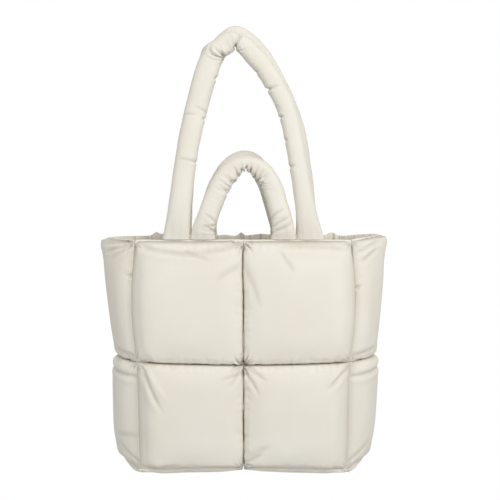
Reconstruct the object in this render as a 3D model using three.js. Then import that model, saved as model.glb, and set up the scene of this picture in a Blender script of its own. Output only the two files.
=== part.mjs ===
// A puffer tote bag: a quilted body of stuffed squares, a hem round its mouth, two long shoulder
// straps and two short hand straps. It hangs by the shoulder straps. Units are millimetres, +Z is up
// and the front faces -Y. The origin is on the hook that carries the shoulder straps, under the fold
// at the crown of the front one.
import * as THREE from "three";

// Body
const PANEL_WIDTH = 326; // front and rear, between the corner seams at the mouth
const BODY_HEIGHT = 358; // from the lowest of the base to the top of the hem
const GUSSET_WIDTH = 150; // side panels, laid flat
const PUFF_LOFT = 22; // how far a front puff stands out of its seams
const LINING_LOFT = 5; // how far a puff swells into the bag
const SEAM_THICKNESS = 3; // the cloth that a seam gathers
const SEAM_GAP = 0.5; // between neighbouring pieces
const BASE_DROP = 16; // how far the base bulges below its seams

// Hem
const HEM_HEIGHT = 10;
const HEM_THICKNESS = 6;

// Straps
const SHOULDER_SPREAD = 205; // between the middles of a shoulder strap's feet
const SHOULDER_RISE = 305; // from the hem to the middle of the front strap at its crown
const SHOULDER_WIDTH = 35; // across the strap, seen from the front
const SHOULDER_DEPTH = 27; // through the strap, front to rear
const HAND_RISE = 119;
const HAND_WIDTH = 34;
const HAND_DEPTH = 27;
const FOOT_SPLAY = 1.1; // how much wider a strap is where it is sewn down
const FOOT_GAP = 3.5; // between a shoulder strap's foot and a hand strap's
const CROWN_GAP = 3; // between the two shoulder straps at their crowns
const HAND_LEAN = 10; // how far a hand strap leans in at its crown

// Facets
const PUFF_CELLS = 10;
const HEM_STEPS = 12;
const SHOULDER_STEPS = 34;
const HAND_STEPS = 24;
const STRAP_SIDES = 10;

// Three seam rings go round the body. height is a share of the height under the hem, measured from
// the base seams. front and rear are shares of PANEL_WIDTH for each panel. depth is a share of
// GUSSET_WIDTH for the distance between the two panels, flare is one for how far the middle of a side
// stands out past the corners, and rise is one for how far it lifts.
const RINGS = {
  base: { height: 0, front: 0.965, rear: 0.965, depth: 0.94, flare: 0.1, rise: 0.03 },
  waist: { height: 0.475, front: 0.985, rear: 0.98, depth: 0.89, flare: 0.22, rise: 0 },
  mouth: { height: 1, front: 1, rear: 0.95, depth: 0.67, flare: 0.395, rise: 0.04 },
};
const FLARE_POWER = 1.7; // 1 folds the side to a point and 2 makes it an arc

// The puffs in one column, from the base up. loft is a share of PUFF_LOFT.
const ROWS = [
  { row: "lower", under: "base", over: "waist", panelLoft: 1, sideLoft: 0.9, turnsUnder: true },
  { row: "upper", under: "waist", over: "mouth", panelLoft: 0.95, sideLoft: 0.4, turnsUnder: false },
];

// The columns, anticlockwise seen from above, as stretches of one side of the ring.
const COLUMNS = [
  { column: "front_left", side: "front", from: 0, to: 0.5 },
  { column: "front_right", side: "front", from: 0.5, to: 1 },
  { column: "side_right", side: "right", from: 0, to: 1 },
  { column: "rear_right", side: "rear", from: 0, to: 0.5 },
  { column: "rear_left", side: "rear", from: 0.5, to: 1 },
  { column: "side_left", side: "left", from: 0, to: 1 },
];
const SIDES = ["front", "right", "rear", "left"];
const CORNER_REACH = 0.25; // the share of a side over which its corner turns the stuffing outwards

// The strap sections, from the left foot to the right one. across is a share of half the spread, up
// one of the rise, and wide and deep are shares of the strap's width and depth.
const SHOULDER_FRONT = [
  { across: -1.0, up: 0, wide: FOOT_SPLAY, deep: 0.3 },
  { across: -0.99, up: 0.08, wide: 1.03, deep: 0.75 },
  { across: -0.92, up: 0.3, wide: 0.96, deep: 1 },
  { across: -0.82, up: 0.55, wide: 1, deep: 1 },
  { across: -0.67, up: 0.75, wide: 1.02, deep: 1 },
  { across: -0.51, up: 0.93, wide: 0.9, deep: 0.95 },
  { across: -0.3, up: 0.985, wide: 0.88, deep: 1 },
  { across: -0.1, up: 1, wide: 0.6, deep: 1 },
  { across: 0.04, up: 0.96, wide: 0.78, deep: 1 },
  { across: 0.39, up: 0.8, wide: 0.8, deep: 1 },
  { across: 0.66, up: 0.61, wide: 0.8, deep: 1 },
  { across: 0.83, up: 0.4, wide: 0.8, deep: 1 },
  { across: 0.92, up: 0.2, wide: 0.82, deep: 1 },
  { across: 0.98, up: 0.07, wide: 0.96, deep: 0.75 },
  { across: 1.0, up: 0, wide: FOOT_SPLAY, deep: 0.3 },
];
const SHOULDER_REAR = [
  { across: -1.0, up: 0, wide: FOOT_SPLAY, deep: 0.3 },
  { across: -0.98, up: 0.08, wide: 0.98, deep: 0.75 },
  { across: -0.93, up: 0.27, wide: 0.88, deep: 1 },
  { across: -0.8, up: 0.58, wide: 0.88, deep: 1 },
  { across: -0.58, up: 0.82, wide: 0.88, deep: 1 },
  { across: -0.36, up: 0.985, wide: 0.85, deep: 1 },
  { across: -0.12, up: 1.035, wide: 0.82, deep: 1 },
  { across: 0.17, up: 0.98, wide: 0.82, deep: 1 },
  { across: 0.52, up: 0.81, wide: 0.8, deep: 1 },
  { across: 0.79, up: 0.57, wide: 0.8, deep: 1 },
  { across: 0.92, up: 0.34, wide: 0.82, deep: 1 },
  { across: 0.98, up: 0.1, wide: 0.95, deep: 0.75 },
  { across: 1.0, up: 0, wide: FOOT_SPLAY, deep: 0.3 },
];
const CROWN_ROW = SHOULDER_FRONT.reduce((top, row) => (row.up > top.up ? row : top));
const HAND_FRONT = [
  { across: -1.0, up: 0, wide: FOOT_SPLAY, deep: 0.3 },
  { across: -0.99, up: 0.14, wide: 1, deep: 0.75 },
  { across: -0.87, up: 0.38, wide: 0.94, deep: 1 },
  { across: -0.54, up: 0.72, wide: 0.92, deep: 1 },
  { across: -0.15, up: 0.95, wide: 0.76, deep: 1 },
  { across: 0.1, up: 1, wide: 0.62, deep: 1 },
  { across: 0.35, up: 0.95, wide: 0.78, deep: 1 },
  { across: 0.7, up: 0.77, wide: 0.9, deep: 1 },
  { across: 0.92, up: 0.43, wide: 0.92, deep: 1 },
  { across: 0.99, up: 0.14, wide: 1, deep: 0.75 },
  { across: 1.0, up: 0, wide: FOOT_SPLAY, deep: 0.3 },
];
const HAND_REAR = [
  { across: -1.0, up: 0, wide: FOOT_SPLAY, deep: 0.3 },
  { across: -0.98, up: 0.14, wide: 0.98, deep: 0.75 },
  { across: -0.86, up: 0.4, wide: 0.94, deep: 1 },
  { across: -0.6, up: 0.74, wide: 0.92, deep: 1 },
  { across: -0.24, up: 0.97, wide: 0.9, deep: 1 },
  { across: 0.03, up: 1.02, wide: 0.88, deep: 1 },
  { across: 0.3, up: 0.96, wide: 0.88, deep: 1 },
  { across: 0.6, up: 0.73, wide: 0.92, deep: 1 },
  { across: 0.83, up: 0.36, wide: 0.94, deep: 1 },
  { across: 0.96, up: 0.14, wide: 0.98, deep: 0.75 },
  { across: 1.0, up: 0, wide: FOOT_SPLAY, deep: 0.3 },
];

const SHELL_CLOTH = { color: 0xe6e2d5, roughness: 0.62, metalness: 0 };
const HEM_CLOTH = { color: 0xe0dccf, roughness: 0.66, metalness: 0 };

const UP = new THREE.Vector3(0, 0, 1);
const REARWARD = new THREE.Vector3(0, 1, 0);
const MOUTH_Z = BODY_HEIGHT - HEM_HEIGHT;
const { lerp, clamp, smoothstep } = THREE.MathUtils;

// The sizes of a seam ring in millimetres.
function ringSizes(name) {
  const ring = RINGS[name];
  return {
    z: lerp(BASE_DROP, MOUTH_Z, ring.height),
    front: (ring.front * PANEL_WIDTH) / 2,
    rear: (ring.rear * PANEL_WIDTH) / 2,
    depth: (ring.depth * GUSSET_WIDTH) / 2,
    flare: ring.flare * GUSSET_WIDTH,
    rise: ring.rise * GUSSET_WIDTH,
  };
}

// A point of a ring, at share s along one side of it.
function ringPoint(name, side, s) {
  const ring = ringSizes(name);
  if (side === "front") return new THREE.Vector3(lerp(-ring.front, ring.front, s), -ring.depth, ring.z);
  if (side === "rear") return new THREE.Vector3(lerp(ring.rear, -ring.rear, s), ring.depth, ring.z);
  const turn = side === "right" ? 1 : -1;
  const toRear = side === "right" ? s : 1 - s;
  const bow = 1 - Math.abs(2 * s - 1) ** FLARE_POWER;
  return new THREE.Vector3(
    turn * (lerp(ring.front, ring.rear, toRear) + bow * ring.flare),
    lerp(-ring.depth, ring.depth, toRear),
    ring.z + bow * ring.rise,
  );
}

// The level direction that points straight out of one side of a ring.
function sideNormal(name, side, s) {
  const step = 0.01;
  const before = ringPoint(name, side, clamp(s - step, 0, 1));
  const along = ringPoint(name, side, clamp(s + step, 0, 1)).sub(before);
  return new THREE.Vector3(along.y, -along.x, 0).normalize();
}

// The direction that stuffing pushes out in: straight out, and shared with the next side at a corner.
function outward(name, side, s) {
  const straight = sideNormal(name, side, s);
  const place = SIDES.indexOf(side);
  const atStart = s < 0.5;
  const next = SIDES[(place + (atStart ? SIDES.length - 1 : 1)) % SIDES.length];
  const corner = sideNormal(name, next, atStart ? 1 : 0).add(sideNormal(name, side, atStart ? 0 : 1));
  const share = 1 - smoothstep(Math.min(s, 1 - s), 0, CORNER_REACH);
  return straight.lerp(corner.normalize(), share).normalize();
}

// How full a puff is at share u between two seams: 0 on them and 1 in the middle.
function fullness(u) {
  return (1 - Math.abs(2 * u - 1) ** 4) ** 0.5;
}

// Shares from 0 to 1 that crowd towards both ends, where a puff turns into its seams.
function crowded(count) {
  return Array.from({ length: count + 1 }, (_, i) => (1 - Math.cos((Math.PI * i) / count)) / 2);
}

// A closed solid from a grid of outer points, a matching grid of inner points and the rim between.
function shellGeometry(outer, inner) {
  const count = outer.length;
  const index = (i, j, layer) => layer * count * count + i * count + j;
  const faces = [];
  const quad = (a, b, c, d) => faces.push(a, b, c, a, c, d);
  for (let i = 0; i + 1 < count; i++) {
    for (let j = 0; j + 1 < count; j++) {
      quad(index(i, j, 0), index(i + 1, j, 0), index(i + 1, j + 1, 0), index(i, j + 1, 0));
      quad(index(i, j, 1), index(i, j + 1, 1), index(i + 1, j + 1, 1), index(i + 1, j, 1));
    }
  }
  const last = count - 1;
  const rim = [];
  for (let k = 0; k < last; k++) rim.push([k, 0]);
  for (let k = 0; k < last; k++) rim.push([last, k]);
  for (let k = last; k > 0; k--) rim.push([k, last]);
  for (let k = last; k > 0; k--) rim.push([0, k]);
  rim.forEach(([i, j], k) => {
    const [m, n] = rim[(k + 1) % rim.length];
    quad(index(m, n, 0), index(i, j, 0), index(i, j, 1), index(m, n, 1));
  });
  return geometryOf([...outer.flat(), ...inner.flat()], faces);
}

// A closed solid swept through sections that each run anticlockwise round the way they go.
function sweptGeometry(sections) {
  const sides = sections[0].length;
  const faces = [];
  for (let i = 0; i + 1 < sections.length; i++) {
    for (let j = 0; j < sides; j++) {
      const a = i * sides + j;
      const b = i * sides + ((j + 1) % sides);
      faces.push(a, b, b + sides, a, b + sides, a + sides);
    }
  }
  const points = sections.flat();
  for (const [section, turned] of [[sections[0], true], [sections.at(-1), false]]) {
    const centre = section.reduce((sum, p) => sum.add(p), new THREE.Vector3()).divideScalar(sides);
    const first = turned ? 0 : (sections.length - 1) * sides;
    points.push(centre);
    for (let j = 0; j < sides; j++) {
      const edge = [first + j, first + ((j + 1) % sides)];
      faces.push(points.length - 1, ...(turned ? edge.reverse() : edge));
    }
  }
  return geometryOf(points, faces);
}

function geometryOf(points, faces) {
  const geometry = new THREE.BufferGeometry().setFromPoints(points);
  geometry.setIndex(faces);
  geometry.computeVertexNormals();
  return geometry;
}

function named(name, geometry, cloth) {
  const mesh = new THREE.Mesh(geometry, new THREE.MeshStandardMaterial(cloth));
  mesh.name = name;
  return mesh;
}

// A stuffed square on a patch. at(s, t) gives the seam surface's point and outward direction.
function puffGeometry(at, width, height, loft) {
  const shares = crowded(PUFF_CELLS);
  const inset = (share, length) => lerp(SEAM_GAP / 2 / length, 1 - SEAM_GAP / 2 / length, share);
  const layer = (sign, swell) =>
    shares.map((u) =>
      shares.map((v) => {
        const { point, out } = at(inset(u, width), inset(v, height));
        const thick = SEAM_THICKNESS / 2 + swell * fullness(u) * fullness(v);
        return point.addScaledVector(out, sign * thick);
      }),
    );
  return shellGeometry(layer(1, loft), layer(-1, LINING_LOFT));
}

// One puff of a wall, between two rings and two upright seams.
function wallPuff({ column, side, from, to }, { row, under, over, panelLoft, sideLoft, turnsUnder }) {
  const at = (s, t) => {
    const along = lerp(from, to, s);
    const point = ringPoint(under, side, along).lerp(ringPoint(over, side, along), t);
    const out = outward(under, side, along).lerp(outward(over, side, along), t);
    if (turnsUnder) out.addScaledVector(UP, smoothstep(t, 0, CORNER_REACH) - 1);
    return { point, out: out.normalize() };
  };
  const onPanel = side === "front" || side === "rear";
  const width = onPanel ? PANEL_WIDTH / 2 : GUSSET_WIDTH;
  const loft = (onPanel ? panelLoft : sideLoft) * PUFF_LOFT;
  return named(`${column}_puff_${row}`, puffGeometry(at, width, BODY_HEIGHT / 2, loft), SHELL_CLOTH);
}

// One half of the base, from the seam under a side to the middle seam.
function basePuff(side) {
  const at = (across, t) => {
    const s = 1 - across;
    const toRear = side === "right" ? s : across;
    const middle = ringPoint("base", "front", 0.5).lerp(ringPoint("base", "rear", 0.5), toRear);
    const panel = toRear < 0.5 ? "front" : "rear";
    const fromStart = (panel === "front") === (side === "left");
    const nearSide = 1 - smoothstep(t, 0, CORNER_REACH);
    const nearPanel = 1 - smoothstep(Math.min(s, 1 - s), 0, CORNER_REACH);
    const level = outward("base", side, s).multiplyScalar(nearSide);
    level.addScaledVector(outward("base", panel, fromStart ? t / 2 : 1 - t / 2), nearPanel);
    level.divideScalar(Math.max(nearSide + nearPanel, 1));
    return { point: ringPoint("base", side, s).lerp(middle, t), out: level.sub(UP).normalize() };
  };
  const loft = BASE_DROP - SEAM_THICKNESS / 2;
  return named(`base_puff_${side}`, puffGeometry(at, GUSSET_WIDTH, PANEL_WIDTH / 2, loft), SHELL_CLOTH);
}

// The stretch of hem on one side of the mouth.
function hem(side) {
  const profile = [
    { out: 0.5, up: 0.75 },
    { out: 0.5, up: 0 },
    { out: -0.5, up: 0 },
    { out: -0.5, up: 0.75 },
    { out: -0.25, up: 1 },
    { out: 0.25, up: 1 },
  ];
  const length = side === "front" || side === "rear" ? PANEL_WIDTH : GUSSET_WIDTH;
  const sections = Array.from({ length: HEM_STEPS + 1 }, (_, i) => {
    const s = lerp(SEAM_GAP / 2 / length, 1 - SEAM_GAP / 2 / length, i / HEM_STEPS);
    const out = outward("mouth", side, s);
    return profile.map((p) => {
      const corner = ringPoint("mouth", side, s).addScaledVector(out, p.out * HEM_THICKNESS);
      return corner.addScaledVector(UP, lerp(SEAM_GAP, HEM_HEIGHT, p.up));
    });
  });
  return named(`hem_${side}`, sweptGeometry(sections), HEM_CLOTH);
}

// A stuffed tube from foot to foot. side is -1 on the front panel and 1 on the rear one.
function strap(name, rows, { spread, rise, width, depth, crownY, side, steps }) {
  const footY = ringSizes("mouth").depth;
  const footZ = BODY_HEIGHT + SEAM_GAP;
  const placed = rows.map((row) => {
    const y = side * lerp(footY, crownY, smoothstep(row.up, 0, 1));
    return new THREE.Vector3((row.across * spread) / 2, y, footZ + row.up * rise);
  });
  const route = new THREE.CatmullRomCurve3(placed, false, "centripetal");
  const sizes = new THREE.CatmullRomCurve3(
    rows.map((row) => new THREE.Vector3(row.wide * width, row.deep * depth, 0)),
  );
  const sections = Array.from({ length: steps + 1 }, (_, i) => {
    const share = i / steps;
    const centre = route.getPoint(share);
    const size = sizes.getPoint(share);
    const onFoot = i === 0 || i === steps;
    const way = onFoot ? UP.clone().multiplyScalar(i === 0 ? 1 : -1) : route.getTangent(share);
    const wide = way.clone().cross(REARWARD).normalize();
    const deep = way.clone().cross(wide).normalize();
    return Array.from({ length: STRAP_SIDES }, (_, j) => {
      const angle = (2 * Math.PI * j) / STRAP_SIDES;
      return centre
        .clone()
        .addScaledVector(wide, (Math.cos(angle) * size.x) / 2)
        .addScaledVector(deep, (Math.sin(angle) * size.y) / 2);
    });
  });
  return named(name, sweptGeometry(sections), SHELL_CLOTH);
}

function straps() {
  const shoulder = {
    spread: SHOULDER_SPREAD,
    rise: SHOULDER_RISE,
    width: SHOULDER_WIDTH,
    depth: SHOULDER_DEPTH,
    crownY: (SHOULDER_DEPTH + CROWN_GAP) / 2,
    steps: SHOULDER_STEPS,
  };
    const hand = {
    spread: SHOULDER_SPREAD - FOOT_SPLAY * (SHOULDER_WIDTH + HAND_WIDTH) - 2 * FOOT_GAP,
    rise: HAND_RISE,
    width: HAND_WIDTH,
    depth: HAND_DEPTH,
    crownY: ringSizes("mouth").depth - HAND_LEAN,
    steps: HAND_STEPS,
  };
  return [
    strap("shoulder_strap_front", SHOULDER_FRONT, { ...shoulder, side: -1 }),
    strap("shoulder_strap_rear", SHOULDER_REAR, { ...shoulder, side: 1 }),
    strap("hand_strap_front", HAND_FRONT, { ...hand, side: -1 }),
    strap("hand_strap_rear", HAND_REAR, { ...hand, side: 1 }),
  ];
}

const bag = new THREE.Group();
for (const row of ROWS) {
  for (const column of COLUMNS) bag.add(wallPuff(column, row));
}
bag.add(basePuff("left"), basePuff("right"));
for (const side of SIDES) bag.add(hem(side));
bag.add(...straps());

// The hook is under the front strap's fold.
const hookX = (CROWN_ROW.across * SHOULDER_SPREAD) / 2;
const hookZ = BODY_HEIGHT + SEAM_GAP + CROWN_ROW.up * SHOULDER_RISE - (CROWN_ROW.wide * SHOULDER_WIDTH) / 2;
bag.position.set(-hookX, 0, -hookZ);

const root = new THREE.Group();
root.add(bag);
export default root;
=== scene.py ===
"""Finishes the hanging puffer tote bag: stuffed squares, hem, straps, stitches and their cloth."""
import logging
import math
from collections.abc import Callable, Sequence
from dataclasses import dataclass, field
from enum import Enum

import bpy
import numpy as np
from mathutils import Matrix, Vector


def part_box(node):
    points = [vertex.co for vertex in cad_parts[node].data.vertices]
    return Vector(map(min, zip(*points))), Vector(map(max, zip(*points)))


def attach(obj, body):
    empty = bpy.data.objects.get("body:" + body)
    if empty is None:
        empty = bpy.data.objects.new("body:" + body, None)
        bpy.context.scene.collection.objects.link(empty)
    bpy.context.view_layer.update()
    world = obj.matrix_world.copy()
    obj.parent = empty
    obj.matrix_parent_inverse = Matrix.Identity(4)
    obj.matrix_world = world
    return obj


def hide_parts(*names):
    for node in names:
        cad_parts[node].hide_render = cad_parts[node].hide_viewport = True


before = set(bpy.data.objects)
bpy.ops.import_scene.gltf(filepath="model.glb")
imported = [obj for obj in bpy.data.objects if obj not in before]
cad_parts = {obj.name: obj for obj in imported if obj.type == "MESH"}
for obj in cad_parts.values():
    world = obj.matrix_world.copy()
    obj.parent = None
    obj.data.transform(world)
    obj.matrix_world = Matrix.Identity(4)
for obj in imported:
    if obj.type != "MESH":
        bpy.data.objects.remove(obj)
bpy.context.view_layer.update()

MM = 0.001
UP = np.array([0.0, 0.0, 1.0])
REARWARD = np.array([0.0, 1.0, 0.0])

Array = np.ndarray
Pair = tuple[Array, Array]

# Takes shares across and up a seam surface, and gives its points and the directions out of it
Surface = Callable[[Array, Array], Pair]

logging.basicConfig(level=logging.INFO, format="%(message)s")
log = logging.getLogger("tote")


class Side(Enum):
    """The four sides of the bag, anticlockwise seen from above."""

    FRONT = 0
    RIGHT = 1
    REAR = 2
    LEFT = 3

    @property
    def is_panel(self) -> bool:
        """Whether this is the front or the rear."""
        return self in (Side.FRONT, Side.REAR)

    def beside(self, step: int) -> "Side":
        """The side that many places further round."""
        return Side((self.value + step) % len(Side))


class FoldKind(Enum):
    """How the cloth moves across a fold."""

    VALLEY = "valley"
    RIDGE = "ridge"


# Small maths


def unit(vectors: Array) -> Array:
    """Scales each vector to a length of one."""
    return vectors / np.maximum(np.linalg.norm(vectors, axis=-1, keepdims=True), 1e-12)


def mix(a: Array | float, b: Array | float, share: Array | float) -> Array:
    """The value at a share of the way from a to b."""
    return a + (b - a) * share


def smooth(x: Array, low: float, high: float) -> Array:
    """Rises smoothly from 0 at low to 1 at high."""
    t = np.clip((x - low) / (high - low), 0.0, 1.0)
    return t * t * (3 - 2 * t)


def bell(x: Array, width: float) -> Array:
    """A bell curve of height one that is mostly gone past its width."""
    return np.exp(-((x / width) ** 2))


def to_end(share: Array) -> Array:
    """How far a share is from the nearer end."""
    return np.minimum(share, 1 - share)


def steps_of(points: Array) -> Array:
    """The distance from each point to the next one along the first axis."""
    return np.linalg.norm(np.diff(points, axis=0), axis=-1)


def travelled(steps: Array) -> Array:
    """The distance from the start, before the first step and after each one."""
    return np.concatenate([[0], np.cumsum(steps)])


def section(sides: int, power: float) -> Array:
    """Points round a shape between a circle, at a power of 1, and a square, at 0."""
    angle = 2 * math.pi * np.arange(sides) / sides
    circle = np.stack([np.cos(angle), np.sin(angle)])
    return np.sign(circle) * np.abs(circle) ** power


class Noise:
    """Smooth seeded noise through space, of about -1 to 1."""

    def __init__(self, seed: int, length: float, waves: int = 14) -> None:
        """Draws the waves.

        Args:
            seed: Fixes the draw.
            length: The usual distance from crest to crest, in metres.
            waves: How many waves are added up.
        """
        draw = np.random.default_rng(seed)
        ways = unit(draw.normal(size=(waves, 3)))
        self.waves = ways * (2 * math.pi / length) * draw.uniform(0.6, 1.5, (waves, 1))
        self.phases = draw.uniform(0, 2 * math.pi, waves)

    def __call__(self, points: Array) -> Array:
        """The noise at each point."""
        total = np.sin(points @ self.waves.T + self.phases).sum(axis=-1)
        return total / math.sqrt(2 * len(self.phases))

    def along(self, distance: Array) -> Array:
        """The noise along one line."""
        points = np.zeros((*np.shape(distance), 3))
        points[..., 0] = distance
        return self(points)


def doubled(values: Array, axis: int) -> Array:
    """Puts a smooth middle value between each two neighbours along an axis.

    Args:
        values: A grid of values or points.
        axis: The axis that gets denser.

    Returns:
        The grid with twice as many steps along that axis.
    """
    rows = np.moveaxis(values, axis, 0)
    before = 2 * rows[:1] - rows[1:2]
    after = 2 * rows[-1:] - rows[-2:-1]
    wide = np.concatenate([before, rows, after])
    middles = (9 * (wide[1:-2] + wide[2:-1]) - wide[:-3] - wide[3:]) / 16
    made = np.empty((2 * len(rows) - 1, *rows.shape[1:]))
    made[::2] = rows
    made[1::2] = middles
    return np.moveaxis(made, 0, axis)


def grid_normals(points: Array) -> Array:
    """The outward direction at each point of a grid whose axes run across and up the outside."""
    return unit(np.cross(np.gradient(points, axis=0), np.gradient(points, axis=1)))


def grid_faces(rows: int, columns: int, first: int = 0, closed: bool = False) -> Array:
    """Quads over a grid of points.

    Args:
        rows: Points along the first axis.
        columns: Points along the second axis.
        first: The index of the grid's first point.
        closed: Whether the second axis joins up into a ring.

    Returns:
        One row of four indices for each quad.
    """
    index = first + np.arange(rows * columns).reshape(rows, columns)
    ahead = np.roll(index, -1, axis=1)
    if not closed:
        index, ahead = index[:, :-1], ahead[:, :-1]
    return np.stack([index[:-1], index[1:], ahead[1:], ahead[:-1]], axis=-1).reshape(-1, 4)


def tube_faces(rings: int, sides: int) -> list[list[int]]:
    """The faces of a tube of rings of points, with both ends closed."""
    last = (rings - 1) * sides
    ends = [list(range(sides)), list(range(last, last + sides))[::-1]]
    return grid_faces(rings, sides, closed=True)[:, ::-1].tolist() + ends


def pairs(across: Array, along: Array) -> Array:
    """Cloth coordinates for each point of a grid, from a value for each row and column."""
    return np.stack(np.meshgrid(across, along, indexing="ij"), axis=-1).reshape(-1, 2)


def relaxed(grid: Array, weight: Array, rounds: int) -> Array:
    """Moves the inner points of a grid, in place, towards the middle of their neighbours.

    Args:
        grid: The points.
        weight: How far each inner point moves in one round, from 0 to 1.
        rounds: How many rounds there are.

    Returns:
        The same grid.
    """
    for _ in range(rounds):
        middle = (grid[2:, 1:-1] + grid[:-2, 1:-1] + grid[1:-1, 2:] + grid[1:-1, :-2]) / 4
        grid[1:-1, 1:-1] += weight * (middle - grid[1:-1, 1:-1])
    return grid


def rim_of(rows: int, columns: int) -> Array:
    """The indices round the edge of a grid, anticlockwise."""
    index = np.arange(rows * columns).reshape(rows, columns)
    return np.concatenate([index[:-1, 0], index[-1, :-1], index[:0:-1, -1], index[0, :0:-1]])


# Shader and geometry trees


class Value:
    """A socket that Python's operators turn into Math nodes."""

    def __init__(self, tree: "Nodes", socket: bpy.types.NodeSocket) -> None:
        """Wraps a socket of a tree."""
        self.tree = tree
        self.socket = socket

    def __add__(self, other: "Value | float") -> "Value":
        """Self plus other."""
        return self.tree.maths("ADD", self, other)

    def __radd__(self, other: float) -> "Value":
        """Other plus self."""
        return self.tree.maths("ADD", other, self)

    def __sub__(self, other: "Value | float") -> "Value":
        """Self less other."""
        return self.tree.maths("SUBTRACT", self, other)

    def __rsub__(self, other: float) -> "Value":
        """Other less self."""
        return self.tree.maths("SUBTRACT", other, self)

    def __mul__(self, other: "Value | float") -> "Value":
        """Self times other."""
        return self.tree.maths("MULTIPLY", self, other)

    def __rmul__(self, other: float) -> "Value":
        """Other times self."""
        return self.tree.maths("MULTIPLY", other, self)

    def sine(self) -> "Value":
        """The sine of self."""
        return self.tree.maths("SINE", self)

    def clipped(self) -> "Value":
        """Self held between 0 and 1."""
        return Value(self.tree, self.tree.add("ShaderNodeClamp", {}, {"Value": self}).outputs[0])


class Nodes:
    """Builds one node tree."""

    def __init__(self, tree: bpy.types.NodeTree) -> None:
        """Wraps a tree of either kind."""
        self.tree = tree

    def add(
        self,
        kind: str,
        settings: dict[str, object] | None = None,
        inputs: dict[str | int, object] | None = None,
    ) -> bpy.types.Node:
        """Adds a node.

        Args:
            kind: The node's type.
            settings: Its own settings, which are set first.
            inputs: Values or links for its sockets, by name or place.

        Returns:
            The new node.
        """
        node = self.tree.nodes.new(kind)
        for name, value in (settings or {}).items():
            setattr(node, name, value)
        for name, value in (inputs or {}).items():
            socket = node.inputs[name]
            if isinstance(value, Value):
                value = value.socket
            if isinstance(value, bpy.types.NodeSocket):
                self.tree.links.new(value, socket)
            else:
                socket.default_value = value
        return node

    def value(self, node: bpy.types.Node, output: str | int = 0) -> Value:
        """Wraps one of a node's outputs."""
        return Value(self, node.outputs[output])

    def maths(self, operation: str, *parts: "Value | float") -> Value:
        """Adds a Math node on values."""
        inputs = dict(enumerate(parts))
        return self.value(self.add("ShaderNodeMath", {"operation": operation}, inputs))

    def blend(self, share: Value, start: object, end: object) -> Value:
        """Mixes two colours."""
        settings = {"data_type": "RGBA", "clamp_factor": True}
        return self.value(self.add("ShaderNodeMix", settings, {0: share, 6: start, 7: end}), 2)

    def surface(self, kind: str, inputs: dict[str, object]) -> None:
        """Adds a shader and joins it to the material's output."""
        shader = self.add(kind, {}, inputs)
        self.add("ShaderNodeOutputMaterial", {}, {"Surface": shader.outputs[0]})


def new_material(name: str) -> tuple[bpy.types.Material, Nodes]:
    """Makes an empty material, with its node tree wrapped."""
    made = bpy.data.materials.new(name)
    made.use_nodes = True
    made.node_tree.nodes.clear()
    return made, Nodes(made.node_tree)


# Finishes


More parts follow.
